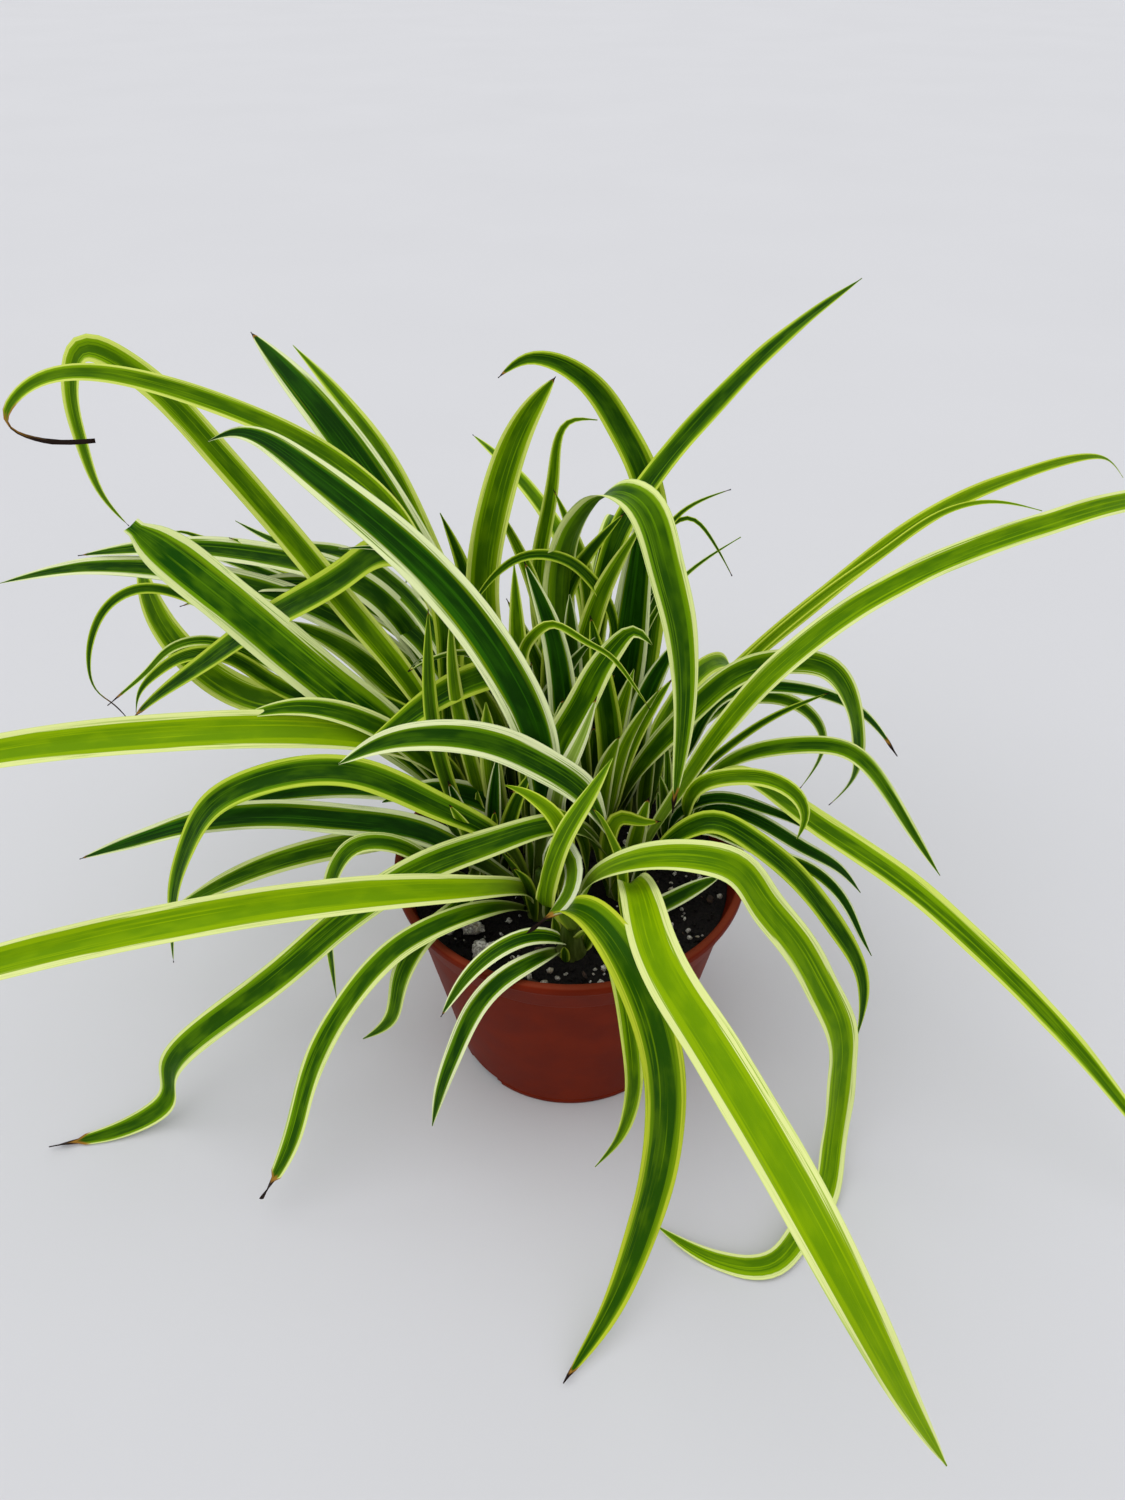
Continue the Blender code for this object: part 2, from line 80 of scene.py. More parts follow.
# Leaves, as in the CAD apart from the finer tip
LEAF_THICKNESS = 0.9
WIDEST_AT = 0.34
BASE_SHARE = 0.46
ROLL_BY = 0.3
TAPER = 3.0
BLUNT = {  # leaves whose blade stays broad nearly to its end
    "back_left_broad": 14.0,
    "back_left_folded": 5.0,
    "far_left_rising": 4.0,
    "far_left_upright": 6.0,
    "middle_left_drop": 6.0,
    "right_floor": 5.0,
    "right_far": 5.0,
    "right_curl": 5.0,
    "centre_right": 5.0,
    "middle_floor": 5.0,
    "back_bent": 4.0,
    "front_drop": 4.0,
}
TIP_WIDTH = 0.5
BROAD_TIPS = {"back_left_broad": 9.0, "middle_left_drop": 3.0, "back_left_high": 2.0}
FLOOR_CLEARANCE = 0.4

# Finer meshes
POT_SIDES = 192
EDGE_ROUNDING = 1.5
SOIL_SIDES = 220
SOIL_RINGS = 64
SOIL_TOP = SOIL_LEVEL - 0.4  # mean level of the crumbly surface
STEM_SIDES = 60
STEM_STEPS = 12
STEM_SHARES = (0.74, 0.10)  # of the crown's radius: the stem, and the ridges on it
STATION_SPACING = 3.0
COLUMNS = 12  # across a blade
SKIN = 0.45  # thickness of a blade at its widest
CHANNEL = 16.0  # degrees that each half of a blade rises from the midrib
CHANNEL_POWER = 1.25
SHEATH_CHANNEL = 26.0  # degrees more at the sheath
SHEATH_SHARE = 0.25  # of the length
WAVE_HEIGHTS = (0.2, 0.6)  # of the edges
WAVE_LENGTHS = (38.0, 62.0)
WAVY_WIDTH = 8.0  # narrower blades have lower waves
PATTERN_LENGTH = 100.0  # along a blade, to one unit of its pattern
SEED_SPREAD = 37.0  # between the patterns of different leaves

# Dry tips
CHANCE_DRY = 0.03  # longest dry share on a leaf that the table of dry tips doesn't name
CURL = 3.0  # radians that a dried tip turns
CURL_FROM = 0.3  # dryness from which it turns
WITHERED_FROM = 0.25  # dryness from which a blade shrinks
WITHERED_SPAN = 0.12
WITHERED_WIDTH = 2.4
WITHERED_SHARE = 0.55  # of its width, at least
WITHERED_SKIN = 1.6  # how much thicker it gets
SCORCH = 0.32  # dryness of the edges behind a dry tip
SCORCH_REACH = 2.5  # times the dry length

# Shade in the heart of the plant
HEART = (-6.0, 6.0)
HEART_RADIUS = 66.0
HEART_EDGE = 34.0
SHADE_TOP = 150.0

# Loose grains over the soil: how many, smallest and largest size, flatness, and how round each is
CRUMBS = (1500, (0.7, 2.8), 0.9, 1)
BARK_BITS = (90, (2.0, 5.0), 0.35, 1)
PALE_GRAINS = (260, (1.1, 4.0), 0.85, 2)

# Shoots
SHOOT_SEED = 40
SHOOT_FOOT = 6.5  # from the crown's centre
SHOOT_RISES = (0.65, 1.25)  # share of the crown's average height
SHOOT_LEANS = (0.08, 0.34)  # share of a shoot's height
SHOOT_BEND = ((0.35, 0.12), (0.70, 0.45), (1.0, 1.0))  # share of its height and of its lean
SHOOT_WIDTHS = (0.8, 1.25)  # share of the crown's average width
SHOOT_ROLL = 0.6

# View and light, in metres and degrees
CAMERA_PLACE = (-0.0033, -0.36, 0.441)
CAMERA_DOWN = 37.7
LENS = 27.05
SUN_FROM = (-0.9, -0.35, 1.9)
SUN_SPREAD = 70.0
SUN_STRENGTH = 0.85
SURROUND = (0.96, 0.97, 1.0, 1.0)
SURROUND_STRENGTH = 0.85
FLOOR_REACH = 14000.0  # millimetres from the pot to the floor's edge

CROWNS = {
    "front": (0, -44),
    "middle": (-12, -22),
    "front_right": (22, -10),
    "right": (48, 22),
    "back_right": (32, 44),
    "centre": (10, 22),
    "back": (2, 55),
    "far_left": (-24, 50),
    "back_left": (-42, 30),
    "left": (-36, -6),
}
Leaf = namedtuple("Leaf", "name crown width roll look points")

# The long leaves, as in the CAD: name, crown, width, roll in degrees, palette and points up to the tip
LEAVES = [Leaf(*row) for row in (
    ("front_hook", "front", 8.5, -30, "white", ((-16, -66, 110), (-25, -72, 109), (-35, -77, 100),
        (-44, -82, 81), (-51, -85, 60), (-57, -87, 34))),
    ("front_short", "front", 7.5, -20, "white", ((-5, -55, 111), (-12, -58, 116), (-24, -63, 117),
        (-38, -71, 110), (-50, -80, 95))),
    ("front_inner_drop", "front", 8, 20, "lime", ((13, -64, 123), (19, -80, 113), (22, -88, 97),
        (24, -94, 78), (23, -96, 58), (19, -98, 42), (10, -100, 25))),
    ("front_drop", "front", 16, 20, "goldedge", ((-1, -60, 133), (7, -72, 142), (23, -97, 135),
        (33, -112, 100), (28, -130, 42), (15, -150, 12), (-3, -174, 2))),
    ("middle_left_drop", "middle", 10, -30, "mid", ((-30, -40, 113), (-50, -54, 119), (-66, -60, 113),
        (-82, -68, 99), (-97, -78, 78), (-106, -86, 57), (-113, -95, 36), (-128, -104, 8))),
    ("front_far_left", "middle", 15, -35, "bright", ((-20, -33, 116), (-36, -43, 127), (-58, -51, 134),
        (-109, -63, 139), (-170, -74, 134), (-240, -84, 118), (-325, -95, 84))),
    ("left_dark", "middle", 14, -35, "dark", ((-32, -20, 114), (-64, -5, 123), (-97, -1, 126),
        (-123, 1, 127), (-159, 3, 121), (-187, 5, 110), (-218, 7, 96))),
    ("left_hanging", "middle", 13, -50, "limedark", ((-27, -19, 128), (-53, -17, 147), (-83, -12, 160),
        (-124, -10, 155), (-145, -9, 142), (-161, -8, 118), (-172, -8, 92), (-183, -8, 45))),
    ("back_bent", "middle", 13, 30, "mid", ((-7, -8, 125), (-8, -1, 148), (-5, 4, 163), (3, 8, 178),
        (12, 8, 199), (18, 9, 208), (24, 8, 214), (31, 6, 209))),
    ("middle_dark", "middle", 18, -35, "dark", ((-14, -8, 176), (-23, -6, 201), (-37, 2, 222),
        (-59, 14, 243), (-101, 38, 268), (-129, 56, 273), (-141, 60, 268))),
    ("middle_upright", "middle", 10, -50, "lime", ((-11, -43, 118), (-10, -45, 131), (-7, -46, 146),
        (-3, -46, 158), (6, -42, 174), (15, -36, 187))),
    ("right_drop", "front_right", 10, 50, "limedark", ((36, -14, 118), (49, -17, 136), (57, -19, 141),
        (72, -22, 135), (92, -26, 118), (111, -30, 93), (123, -34, 73), (128, -37, 53), (128, -40, 29))),
    ("near", "front_right", 17, 10, "bright", ((26, -66, 143), (29, -94, 148), (43, -142, 156),
        (54, -175, 160), (63, -200, 160), (76, -216, 141), (90, -226, 115), (105, -232, 87))),
    ("right_floor", "front", 15, 55, "bright2", ((10, -48, 138), (26, -52, 151), (47, -56, 156),
        (60, -58, 153), (70, -60, 140), (84, -63, 121), (99, -66, 94), (107, -68, 77), (112, -73, 42),
        (111, -84, 12), (106, -99, 6), (93, -117, 5), (80, -129, 4), (64, -129, 3), (48, -122, 3),
        (35, -112, 2))),
    ("right_far", "front_right", 11, 35, "bright2", ((50, 11, 139), (79, 20, 183), (129, 46, 210),
        (163, 62, 218), (209, 80, 225), (244, 96, 226), (330, 146, 190))),
    ("middle_floor", "front_right", 14, -35, "mid", ((9, -16, 128), (-4, -22, 141), (-31, -26, 136),
        (-58, -32, 128), (-89, -41, 110), (-128, -50, 76), (-158, -57, 53), (-172, -59, 34),
        (-179, -60, 12), (-192, -65, 4), (-228, -76, 2))),
    ("middle_arch", "front_right", 15, -45, "white", ((12, -13, 136), (2, -18, 158), (-12, -22, 173),
        (-34, -27, 188), (-63, -30, 191), (-88, -26, 176))),
    ("right_short", "right", 7, 30, "dark", ((60, 17, 116), (76, 9, 120), (100, 0, 110), (118, 0, 97),
        (130, 0, 82))),
    ("right_curl", "right", 7.5, 80, "lime", ((50, 5, 124), (55, -2, 147), (68, -6, 154), (79, -9, 155),
        (89, -12, 151), (95, -14, 140), (93, -16, 129))),
    ("right_low", "right", 12, 35, "lime", ((57, 14, 128), (70, 10, 141), (84, 4, 138), (103, -2, 126),
        (133, -20, 114), (169, -43, 92), (200, -66, 69), (248, -104, 22))),
    ("right_slim", "right", 8, 50, "mid", ((58, 25, 121), (70, 26, 136), (99, 24, 147), (117, 21, 147),
        (134, 18, 132), (150, 14, 109), (168, 10, 83))),
    ("back_right_thin", "back_right", 7, 50, "mid", ((50, 55, 120), (71, 62, 141), (101, 62, 143),
        (119, 62, 120), (112, 62, 91))),
    ("back_right_slim", "back_right", 7, 30, "dark", ((54, 50, 122), (68, 52, 152), (101, 52, 157),
        (131, 52, 144), (152, 52, 119))),
    ("back_right_far", "back_right", 8, 35, "limebright", ((68, 62, 151), (113, 83, 185), (162, 106, 214),
        (208, 128, 224), (239, 142, 226), (256, 150, 222), (270, 156, 210))),
    ("back_right_tall", "back_right", 15, 0, "limedark", ((32, 62, 150), (36, 84, 208), (32, 96, 236),
        (20, 104, 258), (4, 102, 279), (-17, 102, 286), (-30, 105, 277))),
    ("centre_right", "centre", 11, 50, "mid", ((31, 28, 131), (52, 31, 160), (74, 33, 180), (91, 34, 183),
        (107, 34, 180), (117, 34, 168), (126, 35, 142), (127, 36, 117), (120, 37, 102))),
    ("back_dark", "back", 20, 55, "dark", ((17, 50, 124), (22, 52, 148), (26, 55, 178), (28, 58, 206),
        (29, 60, 226), (28, 62, 242))),
    ("back_slim", "back", 8, -20, "lime", ((-10, 76, 150), (-14, 84, 200), (-7, 85, 244), (0, 86, 266),
        (11, 87, 266))),
    ("back_hidden", "back", 9, 0, "lime", ((8, 78, 135), (4, 104, 185), (-18, 132, 213), (-48, 180, 222))),
    ("back_long", "back", 10, 25, "limedark", ((11, 66, 162), (20, 72, 221), (54, 105, 257),
        (94, 146, 280), (136, 189, 294))),
    ("centre_crest", "back", 20, 10, "mid", ((1, 50, 150), (-3, 52, 202), (2, 47, 237), (8, 42, 249),
        (16, 34, 258), (25, 24, 258), (33, 12, 241), (39, 5, 221), (43, -1, 193), (43, -6, 162),
        (42, -9, 137))),
    ("far_left_low", "far_left", 14, -40, "white", ((-63, 72, 140), (-118, 98, 170), (-176, 118, 177),
        (-235, 134, 173), (-291, 148, 156))),
    ("far_left_high", "far_left", 14, -40, "white", ((-58, 68, 147), (-85, 86, 182), (-137, 110, 191),
        (-191, 126, 188), (-243, 140, 176))),
    ("far_left_tilted", "far_left", 14, -30, "limedark", ((-28, 42, 160), (-28, 24, 184), (-38, 14, 188),
        (-52, 11, 182), (-70, 10, 168), (-92, 10, 150))),
    ("far_left_rising", "far_left", 19.5, -25, "dark", ((-46, 74, 146), (-59, 86, 182), (-77, 96, 217),
        (-96, 110, 243), (-119, 130, 264), (-144, 158, 279))),
    ("far_left_inner", "far_left", 12, -20, "lime", ((-33, 80, 142), (-52, 96, 171), (-82, 128, 226),
        (-104, 152, 248), (-131, 180, 266))),
    ("far_left_upright", "far_left", 15, -15, "lime", ((-32, 66, 150), (-38, 68, 195), (-31, 74, 237),
        (-16, 77, 274), (-6, 75, 288))),
    ("back_left_curved", "back_left", 19, -30, "lime", ((-58, 47, 112), (-88, 66, 120), (-129, 82, 126),
        (-150, 90, 123), (-172, 100, 127), (-200, 118, 147), (-216, 146, 159), (-224, 165, 161))),
    ("back_left_broad", "back_left", 23.5, -30, "darkbright", ((-71, 36, 132), (-100, 42, 160),
        (-134, 50, 191), (-165, 61, 215), (-183, 68, 228))),
    ("back_left_long", "back_left", 17, -40, "bright", ((-69, 22, 145), (-92, 18, 157), (-133, 16, 161),
        (-185, 14, 159), (-236, 9, 155), (-290, 5, 140), (-335, 3, 112))),
    ("back_left_folded", "back_left", 12, -50, "lime", ((-67, 42, 161), (-93, 56, 194), (-118, 67, 225),
        (-147, 76, 262), (-175, 83, 290), (-190, 83, 296), (-197, 82, 284), (-198, 79, 262),
        (-195, 77, 238), (-187, 76, 224))),
    ("back_left_crossing", "back_left", 14, -50, "limedark", ((-52, 28, 152), (-50, 34, 207),
        (-57, 36, 228), (-69, 39, 232), (-89, 46, 219), (-114, 56, 199), (-143, 71, 175), (-179, 84, 144),
        (-206, 92, 121), (-222, 96, 105))),
    ("back_left_high", "back_left", 10.5, -40, "lime", ((-40, 48, 156), (-56, 55, 194), (-71, 59, 236),
        (-92, 63, 257), (-123, 61, 277), (-157, 56, 292), (-187, 52, 297), (-204, 48, 290),
        (-210, 47, 280), (-205, 50, 274), (-184, 58, 269))),
    ("left_short", "left", 8, -60, "mid", ((-58, -17, 116), (-72, -18, 128), (-87, -17, 127),
        (-96, -17, 117), (-102, -17, 101), (-106, -17, 70), (-108, -17, 31))),
    ("left_low", "left", 12, -45, "mid", ((-62, 6, 108), (-98, 9, 103), (-133, 11, 90), (-162, 12, 74),
        (-191, 12, 55))),
    ("left_rim", "left", 9, -30, "mid", ((-46, -38, 111), (-56, -53, 113), (-67, -61, 97), (-73, -63, 74),
        (-87, -60, 56))),
)]

# Small leaves that only show: name, start, width, roll in degrees, palette and points up to the tip
EXTRAS = [Leaf(*row) for row in (
    ("spear", (-16, 12, 97), 10, -20, "lime", ((-18, 22, 131), (-21, 26, 189), (-22, 28, 232))),
    ("slanted_a", (2, 46, 97), 11, 60, "lime", ((4, 50, 160), (14, 52, 208), (29, 55, 236))),
    ("slanted_b", (-6, 52, 97), 10, 60, "limedark", ((-8, 54, 160), (2, 57, 212), (22, 60, 238))),
    ("pale_fold", (-6, 0, 97), 9, 60, "pale", ((-6, -8, 132), (-2, -12, 161), (4, -6, 173), (10, 0, 189))),
    ("dark_fan", (0, 18, 97), 13, -60, "dark", ((-2, 20, 142), (-4, 21, 183), (-8, 23, 206),
        (-18, 26, 234))),
    ("small_curl", (6, -14, 97), 6, -60, "lime", ((4, -16, 131), (-3, -20, 144), (-11, -22, 152),
        (-17, -24, 160), (-24, -24, 161))),
    ("lime_arch", (-20, 10, 97), 5, 80, "lime", ((-20, 16, 160), (-18, 14, 202), (-13, 6, 215),
        (-7, 2, 221), (5, 0, 215), (14, 0, 209), (21, 0, 200), (31, 0, 183))),
    ("white_curl", (-6, -28, 112), 12, -50, "creamy", ((-9, -36, 138), (-5, -40, 145), (-1, -44, 144),
        (0, -48, 140), (-2, -53, 134), (-7, -57, 129), (-12, -59, 125), (-17, -60, 120))),
    ("narrow_a", (-40, 8, 97), 7, 70, "limedark", ((-50, 4, 136), (-55, 2, 173), (-53, 2, 227))),
    ("narrow_b", (-34, 14, 97), 7, 50, "lime", ((-42, 10, 150), (-46, 6, 197), (-45, 4, 224))),
    ("side_tip", (-18, 22, 97), 7, 70, "mid", ((-20, 18, 170), (-38, 12, 201), (-51, 10, 201),
        (-64, 10, 194))),
    ("shaded_left", (-16, 14, 97), 12, -50, "dark", ((-22, 11, 112), (-40, 10, 129), (-62, 8, 135),
        (-80, 6, 130))),
    ("behind_dark", (-34, 6, 97), 11, -50, "dark", ((-41, 8, 121), (-65, 12, 130), (-100, 16, 130),
        (-118, 18, 126), (-146, 20, 117))),
    ("behind_broad", (-40, 40, 97), 15, -40, "mid", ((-58, 56, 128), (-82, 66, 149), (-102, 70, 167),
        (-127, 72, 180))),
    ("far_low_left", (-30, 56, 97), 12, -50, "limedark", ((-50, 70, 150), (-84, 96, 175), (-124, 112, 187),
        (-160, 120, 196))),
    ("striped_left", (-38, 44, 97), 12, -50, "white", ((-58, 62, 163), (-88, 92, 174), (-123, 106, 179),
        (-152, 112, 174), (-190, 118, 160))),
    ("front_loop", (18, -14, 97), 8, 70, "limebright", ((16, -16, 118), (16, -13, 128), (20, -9, 134),
        (29, -12, 135), (37, -13, 136))),
    ("over_soil", (22, -32, 95), 8, 30, "white", ((29, -29, 97), (36, -26, 99), (46, -22, 102),
        (56, -17, 104), (64, -13, 105))),
    ("sprout", (-56, -8, 93), 6, -60, "lime", ((-58, -10, 106), (-58, -10, 115), (-63, -10, 119),
        (-70, -10, 112))),
    ("withered_long", (-46, 44, 97), 6, -60, "limedark", ((-63, 46, 140), (-122, 80, 147), (-158, 98, 162),
        (-184, 102, 177), (-201, 104, 178), (-218, 104, 169), (-230, 104, 152), (-236, 104, 135),
        (-235, 104, 118), (-230, 104, 112), (-225, 104, 103))),
    ("slim_left_a", (-46, 48, 97), 6, -55, "mid", ((-80, 66, 120), (-120, 84, 136), (-154, 96, 147),
        (-172, 98, 153), (-192, 98, 148), (-204, 98, 137), (-219, 98, 124), (-230, 98, 115))),
    ("slim_left_b", (-46, 40, 97), 9, -55, "limedark", ((-76, 56, 118), (-114, 80, 126), (-145, 90, 136),
        (-162, 92, 148), (-181, 92, 149), (-198, 92, 139), (-210, 92, 126), (-214, 92, 115))),
    ("above_long", (-46, 24, 97), 11, -50, "mid", ((-56, 22, 130), (-86, 20, 163), (-112, 20, 170),
        (-139, 20, 164))),
    ("small_arch", (12, 50, 97), 6, -60, "limedark", ((16, 54, 150), (18, 56, 190), (8, 52, 212),
        (-4, 46, 225), (-18, 42, 228), (-34, 40, 216), (-42, 40, 203))),
    ("fine_a", (26, 56, 97), 4, 60, "limedark", ((26, 60, 160), (33, 60, 214), (46, 60, 239),
        (64, 60, 248))),
    ("fine_b", (28, 58, 97), 3, 60, "limedark", ((30, 62, 170), (38, 62, 228), (48, 61, 235),
        (58, 60, 226), (68, 60, 209))),
    ("fine_c", (30, 54, 97), 3, 60, "mid", ((28, 58, 140), (33, 60, 182), (49, 60, 210), (70, 60, 227))),
    ("fine_back_a", (8, 66, 97), 9, -50, "lime", ((10, 72, 160), (6, 75, 205), (-7, 77, 240))),
    ("fine_back_b", (-14, 66, 97), 8, -50, "lime", ((-10, 72, 160), (-16, 75, 196), (-33, 78, 236))),
    ("far_right_twin", (36, 50, 97), 4.5, 40, "limebright", ((52, 54, 128), (76, 62, 161), (97, 66, 183),
        (117, 70, 200), (137, 74, 215), (152, 76, 227), (164, 78, 232), (181, 80, 233), (200, 80, 229))),
    ("right_thread", (50, 28, 97), 4, 40, "limedark", ((54, 32, 118), (66, 32, 136), (87, 34, 154),
        (111, 36, 166))),
    ("back_short", (-20, 60, 97), 10, -50, "limedark", ((-30, 68, 130), (-40, 74, 168), (-48, 76, 210),
        (-55, 78, 229))),
    ("thread_left", (-30, 36, 97), 5, -60, "dark", ((-46, 38, 170), (-60, 40, 216), (-72, 40, 231),
        (-91, 40, 232))),
    ("inner_a", (-30, 12, 97), 10, 60, "lime", ((-31, 10, 118), (-33, 10, 142), (-34, 9, 180))),
    ("inner_b", (-10, 12, 97), 9, -60, "mid", ((-13, 10, 118), (-9, 10, 150), (-3, 9, 182))),
    ("inner_d", (16, 26, 97), 12, -40, "limedark", ((18, 28, 130), (14, 32, 170), (8, 34, 205))),
    ("inner_e", (24, 34, 97), 12, 60, "dark", ((28, 36, 130), (34, 40, 165), (46, 42, 190))),
    ("back_fan_a", (6, 66, 97), 12, 0, "mid", ((10, 82, 150), (16, 108, 190), (22, 142, 196),
        (24, 170, 172))),
    ("back_fan_b", (-22, 62, 97), 12, -40, "dark", ((-32, 82, 140), (-52, 116, 170), (-74, 148, 166),
        (-90, 168, 138))),
    ("back_fan_c", (34, 58, 97), 11, 50, "lime", ((44, 74, 120), (62, 100, 132), (80, 126, 122),
        (90, 140, 96))),
    ("far_stub", (-20, 66, 97), 7, -40, "limedark", ((-50, 84, 130), (-110, 126, 160), (-161, 150, 168),
        (-173, 150, 177), (-182, 150, 180), (-193, 150, 184), (-202, 150, 183))),
    ("dry_thread_a", (-30, 50, 97), 2, -60, "dark", ((-40, 58, 170), (-59, 60, 216), (-73, 60, 222),
        (-83, 60, 222), (-96, 60, 222))),
    ("dry_thread_b", (-26, 30, 97), 2, -60, "dark", ((-34, 38, 160), (-42, 40, 182), (-55, 40, 182),
        (-64, 40, 180), (-69, 40, 174))),
    ("striped_low", (-40, 48, 97), 9, -50, "white", ((-68, 60, 145), (-89, 90, 153), (-117, 120, 160),
        (-150, 140, 165), (-179, 150, 171), (-204, 158, 171))),
    ("striped_high", (-34, 50, 97), 9, -50, "white", ((-57, 60, 177), (-77, 90, 185), (-102, 110, 192),
        (-135, 130, 187), (-165, 150, 190))),
    ("near_sheath", (22, -44, 108), 8, 30, "limebright", ((20, -40, 122), (19, -32, 132), (15, -25, 139),
        (11, -20, 145), (8, -18, 148))),
    ("lime_tongue", (-6, -30, 108), 8, -60, "limebright", ((-3, -36, 138), (-3, -38, 151), (-8, -36, 161),
        (-14, -34, 166), (-19, -32, 168), (-25, -30, 169))),
    ("right_under_a", (44, 14, 97), 6, 50, "dark", ((48, 12, 119), (64, 8, 131), (80, 2, 131),
        (93, 0, 126), (103, -2, 120))),
    ("right_under_b", (46, 6, 97), 6, 50, "dark", ((56, 2, 118), (81, -4, 112), (103, -10, 106),
        (119, -16, 91), (127, -20, 76), (133, -22, 65))),
)]

# Shoots that fill each crown: how many, and how high and how wide they are on average
SHOOTS = {
    "front": (3, 14, 5),
    "middle": (6, 34, 7),
    "front_right": (5, 40, 7),
    "right": (6, 42, 6),
    "back_right": (7, 62, 7),
    "centre": (9, 84, 9),
    "back": (9, 104, 9),
    "far_left": (9, 92, 9),
    "back_left": (8, 74, 8),
    "left": (8, 52, 7),
}
SHOOT_LOOKS = ("lime", "mid", "limedark", "dark", "bright2", "mid")

# Share of the length that has dried out, at the tip
DRY_TIPS = {
    "back_left_high": 0.15,
    "middle_left_drop": 0.10,
    "middle_floor": 0.06,
    "front_drop": 0.035,
    "centre_crest": 0.05,
    "back_right_slim": 0.10,
    "back_left_crossing": 0.06,
    "far_left_rising": 0.02,
    "back_left_broad": 0.0,
    "white_curl": 0.24,
    "withered_long": 0.07,
    "slim_left_a": 0.07,
}

# Blade colours as sRGB bytes: sunlit green, deep green, margin, and the margin's share of the half width
PALETTES = {
    "bright": ((142, 176, 0), (108, 148, 0), (228, 236, 152), 0.27),
    "bright2": ((128, 166, 0), (78, 120, 0), (224, 234, 150), 0.27),
    "mid": ((98, 142, 0), (38, 78, 0), (222, 233, 146), 0.27),
    "lime": ((120, 160, 0), (62, 102, 0), (212, 226, 104), 0.27),
    "limebright": ((126, 162, 0), (84, 122, 0), (198, 214, 72), 0.27),
    "limedark": ((80, 124, 0), (28, 66, 0), (188, 208, 64), 0.26),
    "goldedge": ((96, 134, 0), (38, 80, 0), (188, 202, 50), 0.23),
    "white": ((76, 120, 2), (24, 62, 0), (230, 237, 180), 0.31),
    "dark": ((40, 92, 2), (16, 54, 0), (226, 235, 174), 0.25),
    "darkbright": ((106, 154, 6), (26, 74, 2), (224, 234, 160), 0.27),
    "creamy": ((98, 134, 12), (64, 100, 2), (232, 236, 198), 0.44),
    "pale": ((150, 172, 80), (112, 142, 40), (214, 220, 170), 0.40),
}

# Other colours as sRGB bytes
COLOURS = {
    "leaf_border": (136, 168, 4),
    "leaf_base": (150, 176, 60),
    "leaf_underside": (110, 140, 30),
    "leaf_drying": (156, 112, 40),
    "leaf_dead": (38, 27, 22),
    "leaf_shade": (6, 14, 0),
    "pot_dark": (100, 27, 7),
    "pot_light": (114, 34, 11),
    "pot_dust": (134, 70, 44),
    # painted highlight: the lighter colour laid along the top edge of the pot's lip
    "pot_rim_highlight": (150, 84, 58),
    "soil_dark": (7, 6, 6),
    "soil_light": (32, 26, 23),
    "soil_brown": (30, 22, 17),
    "bark_dark": (34, 24, 19),
    "bark_light": (82, 60, 44),
    "mineral_pit": (146, 142, 132),
    "mineral_face": (226, 223, 212),
    "mineral_stain": (168, 140, 88),
    "sheath_low": (62, 74, 22),
    "sheath_high": (50, 78, 8),
    "sheath_streak": (140, 156, 80),
    "floor_dark": (210, 210, 212),
    "floor_light": (215, 215, 217),
}


def linear(rgb):
    """Linear colour, fully opaque, of three sRGB bytes."""
    return [((c / 255.0 + 0.055) / 1.055) ** 2.4 if c > 10 else c / 255.0 / 12.92 for c in rgb] + [1.0]


def named(colour):
    """Linear colour of a name in COLOURS."""
    return linear(COLOURS[colour])


class Nodes:
    """A short way to write a material's node tree."""

    def __init__(self, name):
        self.material = bpy.data.materials.new(name)
        self.material.use_nodes = True
        self.tree = self.material.node_tree
        self.shader = self.tree.nodes["Principled BSDF"]

    def feed(self, socket, value):
        if isinstance(value, bpy.types.NodeSocket):
            self.tree.links.new(value, socket)
        else:
            socket.default_value = value

    def node(self, kind, settings=None, **inputs):
        """A node with inputs given by name, or as i0, i1, i2 by number."""
        made = self.tree.nodes.new(kind)
        for key, value in (settings or {}).items():
            setattr(made, key, value)
        for key, value in inputs.items():
            numbered = key[0] == "i" and key[1:].isdigit()
            self.feed(made.inputs[int(key[1:]) if numbered else key], value)
        return made

    def math(self, operation, a, b=0.0):
        return self.node("ShaderNodeMath", {"operation": operation}, i0=a, i1=b).outputs[0]

    def plus(self, a, b):
        return self.math("ADD", a, b)

    def minus(self, a, b):
        return self.math("SUBTRACT", a, b)

    def times(self, a, b):
        return self.math("MULTIPLY", a, b)

    def around(self, value, strength):
        """How far a value from 0 to 1 is from its middle, times a strength."""
        return self.times(self.minus(value, 0.5), strength)

    def mix(self, share, a, b):
        made = self.node("ShaderNodeMix", {"data_type": "RGBA"})
        self.feed(made.inputs[0], share)
        self.feed(made.inputs[6], a)
        self.feed(made.inputs[7], b)
        return made.outputs[2]

    def tint(self, colour, other, share, strength):
        """A colour with another one laid over it, as strongly as the share and the strength say."""
        return self.mix(self.times(share, strength), colour, other)

    def smooth(self, value, low, high):
        settings = {"interpolation_type": "SMOOTHSTEP"}
        return self.node("ShaderNodeMapRange", settings, i0=value, i1=low, i2=high).outputs[0]

    def vector(self, x, y=0.0, z=0.0):
        return self.node("ShaderNodeCombineXYZ", i0=x, i1=y, i2=z).outputs[0]

    def noise(self, vector, scale, detail=2.0, roughness=0.5):
        made = self.node("ShaderNodeTexNoise", Vector=vector, Scale=scale, Detail=detail, Roughness=roughness)
        return made.outputs[0]

    def place(self):
        return self.node("ShaderNodeNewGeometry").outputs["Position"]

    def attribute(self, name):
        return self.node("ShaderNodeAttribute", {"attribute_name": name}).outputs["Fac"]

    def set(self, **inputs):
        for key, value in inputs.items():
            self.feed(self.shader.inputs[key.replace("_", " ")], value)

    def bump(self, height, strength, distance):
        made = self.node("ShaderNodeBump", Height=height, Strength=strength, Distance=distance)
        self.feed(self.shader.inputs["Normal"], made.outputs[0])


